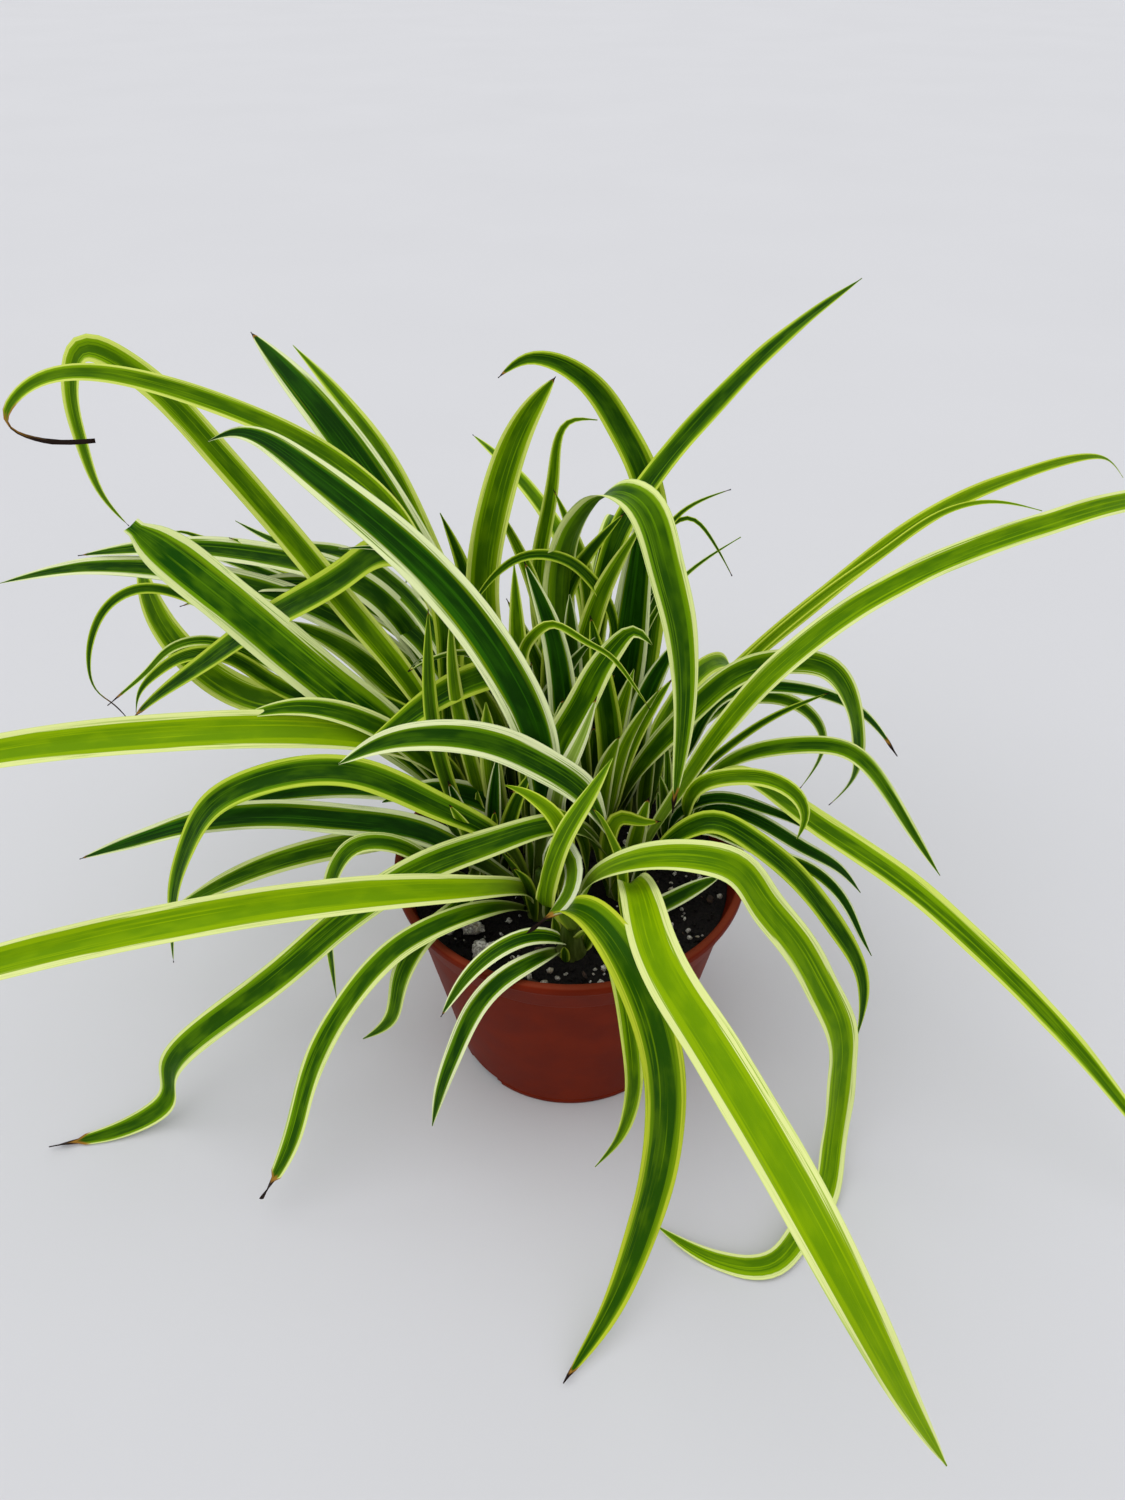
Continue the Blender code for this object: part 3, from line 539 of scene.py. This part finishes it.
def blade_material(name):
    """A variegated blade: green centre with lengthwise streaks, pale margins, dry tip."""
    *colours, share = PALETTES[name]
    green, deep, margin = (linear(colour) for colour in colours)
    n = Nodes(f"blade_{name}")
    across, along, seed = (n.attribute(key) for key in ("across", "along", "seed"))
    streak = n.noise(n.vector(n.times(across, 3.2), n.times(along, 0.5), seed), 2.2, 2.0, 0.6)
    fine = n.noise(n.vector(n.times(across, 16.0), n.times(along, 1.6), seed), 1.8, 3.0, 0.6)
    broad = n.noise(n.vector(across, n.times(along, 4.0), seed), 1.6, 2.0)

    # Where the margin ends: each side has a width of its own and a ragged inner edge
    from_midrib = n.math("ABSOLUTE", across)
    from_edge = n.minus(1.0, from_midrib)
    left = n.math("LESS_THAN", across, 0.0)
    lean = n.around(n.noise(n.vector(seed, left, 3.0), 5.0, 0.0), 0.34)
    ragged = n.plus(n.plus(from_edge, n.around(streak, 0.55)), n.around(fine, 0.10))
    past_margin = n.minus(ragged, n.plus(share, lean))

    # Green centre
    lively = n.plus(streak, n.times(n.minus(0.5, n.smooth(past_margin, 0.0, 0.5)), 0.22))
    colour = n.mix(n.smooth(lively, 0.44, 0.58), deep, green)
    colour = n.tint(colour, green, n.smooth(broad, 0.40, 0.70), 0.40)
    colour = n.tint(colour, deep, n.smooth(fine, 0.42, 0.30), 0.45)
    colour = n.tint(colour, deep, n.smooth(from_midrib, 0.07, 0.0), 0.45)
    colour = n.tint(colour, named("leaf_border"), n.smooth(past_margin, 0.20, 0.0), 0.60)

    # Pale margin with a few green streaks and a thin green rim
    pale = n.mix(n.smooth(fine, 0.40, 0.28), margin, green)
    pale = n.tint(pale, green, n.smooth(streak, 0.42, 0.30), 0.5)
    pale = n.tint(pale, green, n.smooth(from_edge, 0.05, 0.0), 0.30)
    colour = n.mix(n.smooth(past_margin, -0.015, 0.025), pale, colour)

    # Yellowish sheath, duller underside, brown tip and shade
    under = n.attribute("under")
    colour = n.tint(colour, named("leaf_base"), n.smooth(n.attribute("growth"), 0.16, 0.0), 0.45)
    colour = n.tint(colour, named("leaf_underside"), under, 0.12)
    dry = n.plus(n.attribute("dry"), n.around(broad, 0.5))
    colour = n.mix(n.smooth(dry, 0.26, 0.40), colour, named("leaf_drying"))
    colour = n.mix(n.smooth(dry, 0.42, 0.60), colour, named("leaf_dead"))
    colour = n.tint(colour, named("leaf_shade"), n.attribute("shade"), 0.66)
    roughness = n.plus(n.plus(0.36, n.times(fine, 0.16)), n.times(under, 0.12))
    n.set(Base_Color=colour, Roughness=roughness, Specular_IOR_Level=0.04)
    n.bump(fine, 0.30, 0.0004)
    return n.material


def pot_material():
    """Satin terracotta-coloured plastic with faint mottling, dust and a painted highlight along the top of
    the rim.
    """
    n = Nodes("terracotta_plastic")
    place = n.place()
    mottle = n.noise(place, 60.0, 4.0, 0.6)
    dust = n.noise(place, 900.0, 2.0, 0.6)
    height = n.node("ShaderNodeSeparateXYZ", Vector=place).outputs[2]
    # Painted highlight: the top edge of the lip is made lighter, as if the light falls on it
    rim_highlight = n.smooth(height, (POT_HEIGHT - 0.9) * MM, (POT_HEIGHT - 0.1) * MM)
    colour = n.mix(n.smooth(mottle, 0.3, 0.75), named("pot_dark"), named("pot_light"))
    colour = n.tint(colour, named("pot_dust"), n.smooth(dust, 0.62, 0.8), 0.05)
    colour = n.tint(colour, named("pot_rim_highlight"), rim_highlight, 0.22)
    n.set(Base_Color=colour, Roughness=n.plus(0.40, n.times(mottle, 0.14)), Specular_IOR_Level=0.03)
    n.bump(n.plus(n.noise(place, 1400.0, 2.0), n.times(mottle, 0.6)), 0.12, 0.0003)
    return n.material


def soil_material():
    """Dark moist potting mix."""
    n = Nodes("dark_soil")
    place = n.place()
    grain = n.noise(place, 700.0, 4.0, 0.7)
    patch = n.noise(place, 90.0, 3.0, 0.5)
    colour = n.mix(n.smooth(grain, 0.35, 0.75), named("soil_dark"), named("soil_light"))
    colour = n.tint(colour, named("soil_brown"), n.smooth(patch, 0.55, 0.8), 0.4)
    n.set(Base_Color=colour, Roughness=0.9, Specular_IOR_Level=0.25)
    n.bump(grain, 0.8, 0.0012)
    return n.material


def bark_material():
    """Brown shreds of bark and fibre."""
    n = Nodes("bark_shreds")
    grain = n.noise(n.place(), 500.0, 3.0, 0.6)
    colour = n.mix(n.smooth(grain, 0.3, 0.7), named("bark_dark"), named("bark_light"))
    n.set(Base_Color=colour, Roughness=0.85)
    n.bump(grain, 0.6, 0.0008)
    return n.material


def mineral_material():
    """Off-white expanded mineral with pits."""
    n = Nodes("pale_grains")
    place = n.place()
    pits = n.noise(place, 900.0, 3.0, 0.6)
    stain = n.noise(place, 150.0, 2.0)
    colour = n.mix(n.smooth(pits, 0.42, 0.62), named("mineral_pit"), named("mineral_face"))
    colour = n.tint(colour, named("mineral_stain"), n.smooth(stain, 0.5, 0.8), 0.6)
    n.set(Base_Color=colour, Roughness=0.9)
    n.bump(pits, 0.9, 0.0010)
    return n.material


def sheath_material():
    """Green stem bases with pale lengthwise streaks."""
    n = Nodes("pale_sheath")
    x, y, z = n.node("ShaderNodeSeparateXYZ", Vector=n.place()).outputs
    height = n.smooth(z, SOIL_LEVEL * MM, (SOIL_LEVEL + CROWN_HEIGHT) * MM)
    streak = n.noise(n.vector(n.times(x, 400.0), n.times(y, 400.0), n.times(z, 14.0)), 1.0, 3.0)
    colour = n.mix(height, named("sheath_low"), named("sheath_high"))
    colour = n.tint(colour, named("sheath_streak"), n.smooth(streak, 0.4, 0.7), 0.3)
    n.set(Base_Color=colour, Roughness=0.45, Specular_IOR_Level=0.15)
    n.bump(streak, 0.3, 0.0004)
    return n.material


def floor_material():
    """A plain pale floor with the faintest clouding."""
    n = Nodes("pale_floor")
    colour = n.mix(n.noise(n.place(), 3.0, 3.0), named("floor_dark"), named("floor_light"))
    n.set(Base_Color=colour, Roughness=0.75, Specular_IOR_Level=0.2)
    return n.material


def add_object(mesh, bm, look=None):
    """An object from a mesh that bmesh has finished, with its material."""
    bm.to_mesh(mesh)
    bm.free()
    made = bpy.data.objects.new(mesh.name, mesh)
    bpy.context.scene.collection.objects.link(made)
    if look:
        mesh.materials.append(look)
        mesh.shade_smooth()
    return made


def add_mesh(name, verts_mm, faces, look):
    """A mesh object from millimetre points, with its faces turned outwards."""
    mesh = bpy.data.meshes.new(name)
    mesh.from_pydata([[c * MM for c in v] for v in verts_mm], [], faces)
    bm = bmesh.new()
    bm.from_mesh(mesh)
    bmesh.ops.recalc_face_normals(bm, faces=bm.faces)
    return add_object(mesh, bm, look)


def settle(piece, slot, *nodes):
    """Hang a piece on the root body and hide the CAD nodes that it stands for. The slot, what it's made of,
    is not used.
    """
    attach(piece, "root")
    if nodes:
        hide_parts(*nodes)


def spline(knots):
    """Evenly spaced points on the natural cubic spline through the knots, and its length."""
    knots = np.array(knots, dtype=float)
    chord = np.linalg.norm(np.diff(knots, axis=0), axis=1)
    t = np.concatenate([[0.0], np.cumsum(chord)])
    n = len(knots)
    matrix = np.eye(n)
    right = np.zeros((n, 3))
    slope = np.diff(knots, axis=0) / chord[:, None]
    for i in range(1, n - 1):
        matrix[i, i - 1:i + 2] = (chord[i - 1], 2.0 * (chord[i - 1] + chord[i]), chord[i])
        right[i] = 6.0 * (slope[i] - slope[i - 1])
    bend = np.linalg.solve(matrix, right)
    fine = np.linspace(0.0, t[-1], 400)
    k = np.clip(np.searchsorted(t, fine, side="right") - 1, 0, n - 2)
    h = chord[k][:, None]
    a = (t[k + 1] - fine)[:, None]
    b = (fine - t[k])[:, None]
    curve = (bend[k] * a ** 3 + bend[k + 1] * b ** 3) / (6.0 * h)
    curve += (knots[k] / h - bend[k] * h / 6.0) * a + (knots[k + 1] / h - bend[k + 1] * h / 6.0) * b
    along = np.concatenate([[0.0], np.cumsum(np.linalg.norm(np.diff(curve, axis=0), axis=1))])
    even = np.linspace(0.0, along[-1], max(16, int(along[-1] / STATION_SPACING)))
    return np.stack([np.interp(even, along, curve[:, c]) for c in range(3)], axis=1), along[-1]


def crown_radius(z):
    """Radius of a crown's core at a height."""
    share = (z - SOIL_LEVEL) / CROWN_HEIGHT
    return CROWN_FOOT + (CROWN_TOP - CROWN_FOOT) * max(0.0, share) ** 0.7


def leaf_start(leaf, rank, ranks):
    """Where a leaf's midrib starts, and which way it heads. A small leaf gives its start itself."""
    if not isinstance(leaf.crown, str):
        x, y = leaf.crown[:2]
        return leaf.crown, math.atan2(leaf.points[-1][1] - y, leaf.points[-1][0] - x)
    cx, cy = CROWNS[leaf.crown]
    aim = leaf.points[len(leaf.points) // 2]
    heading = math.atan2(aim[1] - cy, aim[0] - cx)
    z = SOIL_LEVEL + LOWEST_LEAF + (HIGHEST_LEAF - LOWEST_LEAF) * rank / max(1, ranks - 1)
    radius = crown_radius(z) + 1.5 * GAP + LEAF_THICKNESS / 2.0
    return (cx + radius * math.cos(heading), cy + radius * math.sin(heading), z), heading


def leaf_width(leaf, s):
    """Width of the blade at a share s of its length: narrow sheath, broad middle, pointed tip."""
    if s < WIDEST_AT:
        share = BASE_SHARE + (1.0 - BASE_SHARE) * math.sin(math.pi / 2.0 * s / WIDEST_AT)
    else:
        share = (1.0 - ((s - WIDEST_AT) / (1.0 - WIDEST_AT)) ** BLUNT.get(leaf.name, TAPER)) ** 0.9
    return max(BROAD_TIPS.get(leaf.name, TIP_WIDTH), leaf.width * share)


def shade_of(place):
    """How far the plant keeps light off a point: fully low down in its heart."""
    x, y, z = place
    inward = (HEART_RADIUS - math.hypot(x - HEART[0], y - HEART[1])) / HEART_EDGE
    low = (SHADE_TOP - z) / (SHADE_TOP - SOIL_LEVEL)
    return min(1.0, max(0.0, inward)) * min(1.0, max(0.0, low))


def seeded(name):
    """A number from 0 to 1 that belongs to a name."""
    return sum((i + 3) * ord(c) for i, c in enumerate(name)) * 0.6180339 % 1.0


def blade_faces(count):
    """The faces of a closed blade with upper and lower points at each of its stations."""
    row = 2 * (COLUMNS + 1)
    faces = []
    for i in range(count - 1):
        a, b = i * row, (i + 1) * row
        for c in range(COLUMNS):
            faces.append((a + c, b + c, b + c + 1, a + c + 1))
            d = COLUMNS + 1 + c
            faces.append((a + d, a + d + 1, b + d + 1, b + d))
        for c, flip in ((0, False), (COLUMNS, True)):
            quad = (a + c, a + c + COLUMNS + 1, b + c + COLUMNS + 1, b + c)
            faces.append(quad[::-1] if flip else quad)
    for i, flip in ((0, True), (count - 1, False)):
        a = i * row
        for c in range(COLUMNS):
            quad = (a + c, a + c + 1, a + COLUMNS + 2 + c, a + COLUMNS + 1 + c)
            faces.append(quad[::-1] if flip else quad)
    return faces


def build_blade(name, leaf, rank=0, ranks=1):
    """A thin closed blade on the leaf's curve, with a channel along it and slightly wavy edges."""
    start, heading = leaf_start(leaf, rank, ranks)
    points, length = spline([start, *leaf.points])
    tangents = np.gradient(points, axis=0)
    tangents /= np.linalg.norm(tangents, axis=1)[:, None]
    side = np.array((-math.sin(heading), math.cos(heading), 0.0))
    luck = seeded(name)
    rng = np.random.default_rng(int(luck * 100000))
    wave = rng.uniform(*WAVE_HEIGHTS)
    phase = rng.uniform(0.0, math.tau, 2)
    pitch = rng.uniform(*WAVE_LENGTHS)
    dried = DRY_TIPS.get(leaf.name, rng.uniform(0.0, CHANCE_DRY) if rng.random() < 0.5 else 0.0)
    columns = np.linspace(-1.0, 1.0, COLUMNS + 1)
    verts = []
    data = []
    for i, (point, tangent) in enumerate(zip(points, tangents)):
        s = i / (len(points) - 1)
        dry = max(0.0, 1.0 - (1.0 - s) / dried) if dried else 0.0
        withered = min(1.0, max(0.0, (dry - WITHERED_FROM) / WITHERED_SPAN))
        side = side - tangent * side.dot(tangent)
        side /= np.linalg.norm(side)
        top = np.cross(tangent, side)
        turn = math.radians(leaf.roll) * min(1.0, s / ROLL_BY) + CURL * max(0.0, dry - CURL_FROM)
        across = side * math.cos(turn) + top * math.sin(turn)
        up = np.cross(tangent, across)
        width = leaf_width(leaf, s)
        width += (max(WITHERED_SHARE * width, min(width, WITHERED_WIDTH)) - width) * withered
        fold = math.radians(CHANNEL + SHEATH_CHANNEL * max(0.0, 1.0 - s / SHEATH_SHARE) ** 1.5)
        skin = SKIN * (0.35 + 0.65 * width / leaf.width) * (1.0 + WITHERED_SKIN * withered)
        ring = []
        for u in columns:
            keel = abs(u) ** CHANNEL_POWER
            ripple = wave * u ** 2 * math.sin(math.tau * s * length / pitch + phase[0 if u < 0 else 1])
            ripple *= min(1.0, width / WAVY_WIDTH)
            place = point + across * u * width / 2.0 * math.cos(fold)
            ring.append(place + up * (keel * width / 2.0 * math.sin(fold) + ripple))
        lift = np.array((0.0, 0.0, max(0.0, FLOOR_CLEARANCE + SKIN - min(p[2] for p in ring))))
        for layer in (0, 1):
            for u, place in zip(columns, ring):
                place = place + lift
                half = skin / 2.0 * math.sqrt(max(0.0, 1.0 - u ** 6))
                verts.append(place + up * (-half if layer else half))
                behind = max(0.0, 1.0 - (1.0 - s) / (SCORCH_REACH * dried)) if dried else 0.0
                scorch = SCORCH * abs(u) ** 3 * behind
                shade = shade_of(place)
                along = s * length / PATTERN_LENGTH
                data.append((u, along, luck * SEED_SPREAD, s, float(layer), dry + scorch, shade))
    made = add_mesh(name, verts, blade_faces(len(points)), blades[leaf.look])
    for index, key in enumerate(("across", "along", "seed", "growth", "under", "dry", "shade")):
        values = made.data.attributes.new(key, "FLOAT", "POINT")
        values.data.foreach_set("value", [row[index] for row in data])
    return made


def shoots():
    """Short upright leaves around the heart of each crown."""
    made = []
    for number, (crown, (count, height, width)) in enumerate(SHOOTS.items()):
        cx, cy = CROWNS[crown]
        rng = np.random.default_rng(SHOOT_SEED + number)
        for k in range(count):
            heading = math.tau * (k + rng.uniform(-0.2, 0.2)) / count + number
            rise = height * rng.uniform(*SHOOT_RISES)
            lean = rise * rng.uniform(*SHOOT_LEANS)
            out = (math.cos(heading), math.sin(heading))
            start = (cx + SHOOT_FOOT * out[0], cy + SHOOT_FOOT * out[1], SOIL_LEVEL - 2.0)
            knots = []
            for up, away in SHOOT_BEND:
                reach = SHOOT_FOOT + 0.5 + lean * away
                knots.append((cx + reach * out[0], cy + reach * out[1], SOIL_LEVEL + rise * up))
            facing = 90.0 - math.degrees(heading)
            roll = (facing + 90.0) % 180.0 - 90.0
            look = SHOOT_LOOKS[int(rng.integers(len(SHOOT_LOOKS)))]
            own = width * rng.uniform(*SHOOT_WIDTHS)
            made.append(Leaf(f"shoot_{crown}_{k}", start, own, SHOOT_ROLL * roll, look, tuple(knots)))
    return made


def turned(name, profile, sides, look, centre=(0.0, 0.0), warp=None):
    """A solid of revolution from a profile of (radius, z) that starts and ends on the axis.

    The warp gives a point's radius and z from its angle, radius and z.
    """
    verts = []
    rings = []
    for radius, z in profile:
        count = 1 if radius == 0 else sides
        rings.append(range(len(verts), len(verts) + count))
        for i in range(count):
            a = math.tau * i / sides
            r, height = warp(a, radius, z) if warp else (radius, z)
            verts.append((centre[0] + r * math.cos(a), centre[1] + r * math.sin(a), height))
    faces = []
    for low, high in zip(rings, rings[1:]):
        for i in range(sides):
            j = (i + 1) % sides
            if len(low) == 1:
                faces.append((low[0], high[j], high[i]))
            elif len(high) == 1:
                faces.append((low[i], low[j], high[0]))
            else:
                faces.append((low[i], low[j], high[j], high[i]))
    return add_mesh(name, verts, faces, look)


def outer_wall(z):
    """Outside radius of the pot's plain wall below its band."""
    return FOOT_RADIUS + (STEP_RADIUS - FOOT_RADIUS) * z / STEP_HEIGHT


def inner_wall(z):
    """Inside radius of the pot at a height."""
    return outer_wall(min(z, STEP_HEIGHT)) - WALL + max(0.0, z - STEP_HEIGHT) * BAND_FLARE


def rounded(corners, radius, steps=4):
    """A profile with each inner corner replaced by a short arc."""
    out = [corners[0]]
    for before, corner, after in zip(corners, corners[1:], corners[2:]):
        a, b, c = (np.array(p) for p in (before, corner, after))
        first, second = a - b, c - b
        r = min(radius, np.linalg.norm(first) * 0.45, np.linalg.norm(second) * 0.45)
        p = b + first / np.linalg.norm(first) * r
        q = b + second / np.linalg.norm(second) * r
        for k in range(steps + 1):
            t = k / steps
            out.append(tuple((1 - t) ** 2 * p + 2 * t * (1 - t) * b + t ** 2 * q))
    out.append(corners[-1])
    return out


def build_pot():
    """The pot with a rolled lip, a stepped band, a foot line and four drainage slots."""
    lip_z = POT_HEIGHT - LIP_HEIGHT
    corners = [
        (0.0, 0.0),
        (FOOT_RADIUS - 0.2, 0.0),
        (outer_wall(3.6) - 0.1, 3.6),
        (outer_wall(4.1) - 0.55, 4.1),
        (outer_wall(4.8) - 0.1, 4.8),
        (outer_wall(STEP_HEIGHT - 1.0), STEP_HEIGHT - 1.0),
        (outer_wall(STEP_HEIGHT) + BAND_STEP, STEP_HEIGHT + 0.4),
        (RIM_RADIUS - 1.3, lip_z - 0.8),
        (RIM_RADIUS, lip_z + 0.5),
        (RIM_RADIUS, POT_HEIGHT),
        (inner_wall(POT_HEIGHT), POT_HEIGHT),
        (inner_wall(STEP_HEIGHT), STEP_HEIGHT),
        (inner_wall(FLOOR_THICKNESS), FLOOR_THICKNESS),
        (0.0, FLOOR_THICKNESS),
    ]
    pot = turned("pot_body", rounded(corners, EDGE_ROUNDING), POT_SIDES, pot_material())
    for number, angle in enumerate(SLOT_ANGLES):
        cut(pot, slot_tool(number, angle))
    pot.data.shade_smooth()
    settle(pot, "pot_plastic", "pot")


def slot_tool(number, angle):
    """The rounded block that opens one drainage slot."""
    bm = bmesh.new()
    bmesh.ops.create_cube(bm, size=1.0)
    bmesh.ops.bevel(bm, geom=bm.edges, offset=0.1, segments=3, affect="EDGES")
    size = (SLOT_DEPTH + 2.0, SLOT_LENGTH, SLOT_HEIGHT * 2.0)
    turn = Matrix.Rotation(math.radians(angle), 3, "Z")
    bmesh.ops.scale(bm, vec=[c * MM for c in size], verts=bm.verts)
    bmesh.ops.translate(bm, vec=((FOOT_RADIUS - 2.0) * MM, 0.0, 0.0), verts=bm.verts)
    bmesh.ops.rotate(bm, cent=(0, 0, 0), matrix=turn, verts=bm.verts)
    return add_object(bpy.data.meshes.new(f"slot_{number}"), bm)


def cut(piece, tool):
    """Take a tool's volume out of a piece and remove the tool."""
    step = piece.modifiers.new("slot", "BOOLEAN")
    step.operation = "DIFFERENCE"
    step.solver = "EXACT"
    step.object = tool
    graph = bpy.context.evaluated_depsgraph_get()
    mesh = bpy.data.meshes.new_from_object(piece.evaluated_get(graph))
    piece.modifiers.clear()
    old = piece.data
    piece.data = mesh
    bpy.data.meshes.remove(old)
    bpy.data.objects.remove(tool, do_unlink=True)


def soil_height(x, y):
    """Height of the soil's surface above its mean level."""
    p = Vector((x, y, 0.0))
    swell = 0.9 * noise.noise(p / 21.0) + 0.8 * noise.noise(p / 6.0 + Vector((9, 4, 2)))
    return swell + 0.5 * abs(noise.noise(p / 2.1 + Vector((1, 7, 5))))


def build_soil():
    """The soil's crumbly surface on a plain plug, and the loose grains on it."""
    bottom = FLOOR_THICKNESS + GAP
    radii = (0.0, *np.linspace(0.6, inner_wall(SOIL_LEVEL) - GAP, SOIL_RINGS))
    profile = [(radius, SOIL_TOP) for radius in radii]
    profile += [(inner_wall(z) - GAP, z) for z in (STEP_HEIGHT, bottom)]
    profile.append((0.0, bottom))

    def crumbly(a, r, z):
        uneven = r > 0.0 and z == SOIL_TOP
        return r, z + (soil_height(r * math.cos(a), r * math.sin(a)) if uneven else 0.0)

    dark = soil_material()
    bed = turned("soil_bed", profile, SOIL_SIDES, dark, warp=crumbly)
    settle(bed, "potting_soil", "soil")
    rng = np.random.default_rng(11)
    scatter("soil_crumbs", CRUMBS, rng, dark, "potting_soil")
    scatter("bark_bits", BARK_BITS, rng, bark_material(), "potting_soil")
    scatter("perlite_grains", PALE_GRAINS, rng, mineral_material(), "pale_mineral")


def scatter(name, kind, rng, look, slot):
    """Loose grains over the soil and clear of the crowns, as one piece."""
    count, (smallest, largest), flat, detail = kind
    bm = bmesh.new()
    placed = 0
    while placed < count:
        r = math.sqrt(rng.random()) * (inner_wall(SOIL_LEVEL) - 3.0)
        a = rng.uniform(0, math.tau)
        x, y = r * math.cos(a), r * math.sin(a)
        size = smallest + (largest - smallest) * rng.random() ** 2.2
        if any(math.hypot(x - cx, y - cy) < CROWN_FOOT + size for cx, cy in CROWNS.values()):
            continue
        sizes = (size, size * rng.uniform(0.6, 1.0), size * flat * rng.uniform(0.6, 1.0))
        z = SOIL_TOP + soil_height(x, y) + size * flat * 0.28
        add_grain(bm, (x, y, z), sizes, rng, detail)
        placed += 1
    settle(add_object(bpy.data.meshes.new(name), bm, look), slot)


def add_grain(bm, centre, size, rng, detail, rough=0.22):
    """Add one rough grain to a mesh being built."""
    made = bmesh.ops.create_icosphere(bm, subdivisions=detail, radius=0.5)["verts"]
    turn = Matrix.Rotation(rng.uniform(0, math.tau), 3, Vector(rng.normal(size=3)).normalized())
    offset = Vector(rng.uniform(-50, 50, 3))
    for v in made:
        coarse = 2.0 * noise.noise(v.co * 3.1 + offset)
        fine = 0.5 * noise.noise(v.co * 7.7 + offset)
        local = turn @ Vector([c * s for c, s in zip(v.co, size)]) * (1.0 + rough * (coarse + fine))
        v.co = (Vector(centre) + local) * MM


def build_chunks():
    """The two larger mineral chunks that lie at the front left, each a row of grown-together lumps."""
    look = mineral_material()
    rng = np.random.default_rng(23)
    lumps = 6
    for node, slant in (("chunk_long", -0.62), ("chunk_round", 0.12)):
        low, high = (np.array(c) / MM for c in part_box(node))
        middle, size = (low + high) / 2.0, high - low
        bm = bmesh.new()
        for k in range(lumps):
            share = (k + 0.5) / lumps - 0.5
            shift = rng.uniform(-1.0, 1.0, 2)
            along = share * size[0] * 0.74 + shift[0]
            aside = share * size[1] * slant + shift[1]
            sizes = (rng.uniform(5.5, 8.5), rng.uniform(5.0, 8.0), size[2] * rng.uniform(0.8, 1.0))
            add_grain(bm, middle + np.array((along, aside, 0.0)), sizes, rng, 3, 0.3)
        mesh = bpy.data.meshes.new(f"{node}_rough")
        settle(add_object(mesh, bm, look), "pale_mineral", node)


def build_crowns():
    """Each crown's stem, ridged where the sheaths of its leaves overlap."""
    look = sheath_material()
    for number, (name, place) in enumerate(CROWNS.items()):
        profile = [
            (0.0, SOIL_LEVEL - CROWN_DEPTH),
            (CROWN_FOOT - 0.4, SOIL_LEVEL - CROWN_DEPTH),
            (CROWN_FOOT - 0.2, SOIL_LEVEL - 4.0),
        ]
        for k in range(STEM_STEPS + 1):
            z = SOIL_LEVEL + CROWN_HEIGHT * k / STEM_STEPS
            profile.append((crown_radius(z), z))
        profile.append((0.0, SOIL_LEVEL + CROWN_HEIGHT + 1.0))

        def ridged(a, r, z, number=number):
            ridges = 5 + number % 3
            turn = (a * ridges / math.tau + (z - SOIL_LEVEL) * 0.02 + number * 0.37) % 1.0
            return r * (STEM_SHARES[0] + STEM_SHARES[1] * turn), z

        stem = turned(f"stem_{name}", profile, STEM_SIDES, look, place, ridged)
        settle(stem, "crown_sheath", f"crown_{name}")


def build_leaves():
    """The long leaves round their crowns, then the small ones and the shoots."""
    for crown in CROWNS:
        own = [leaf for leaf in LEAVES if leaf.crown == crown]
        for rank, leaf in enumerate(own):
            blade = build_blade(f"blade_{leaf.name}", leaf, rank, len(own))
            settle(blade, "leaf_blade", f"leaf_{leaf.name}")
    for leaf in EXTRAS + shoots():
        settle(build_blade(f"small_{leaf.name}", leaf), "leaf_blade")


def build_stage():
    """A plain pale floor that runs out of sight."""
    half = FLOOR_REACH
    corners = [(-half, -half, 0), (half, -half, 0), (half, half, 0), (-half, half, 0)]
    add_mesh("studio_floor", corners, [(0, 1, 2, 3)], floor_material())


def build_lights():
    """A broad soft light from the upper left and a pale surround."""
    world = bpy.data.worlds.new("pale_surround")
    world.use_nodes = True
    surround = world.node_tree.nodes["Background"]
    surround.inputs["Color"].default_value = SURROUND
    surround.inputs["Strength"].default_value = SURROUND_STRENGTH
    bpy.context.scene.world = world
    sun = bpy.data.lights.new("key", "SUN")
    sun.angle = math.radians(SUN_SPREAD)
    sun.energy = SUN_STRENGTH
    lamp = bpy.data.objects.new("key", sun)
    lamp.location = SUN_FROM
    lamp.rotation_euler = (-lamp.location).to_track_quat("-Z", "Y").to_euler()
    bpy.context.scene.collection.objects.link(lamp)


def build_camera():
    """The camera stands in front of the pot and looks down on it."""
    data = bpy.data.cameras.new("camera")
    data.sensor_fit = "AUTO"
    data.sensor_width = 36.0
    data.lens = LENS
    data.clip_end = 100.0
    made = bpy.data.objects.new("camera", data)
    made.location = CAMERA_PLACE
    made.rotation_euler = (math.radians(90.0 - CAMERA_DOWN), 0.0, 0.0)
    bpy.context.scene.collection.objects.link(made)
    bpy.context.scene.camera = made


bpy.context.scene.view_settings.view_transform = "Standard"
build_camera()
build_stage()
build_lights()
blades = {name: blade_material(name) for name in PALETTES}
build_pot()
build_soil()
build_chunks()
build_crowns()
build_leaves()
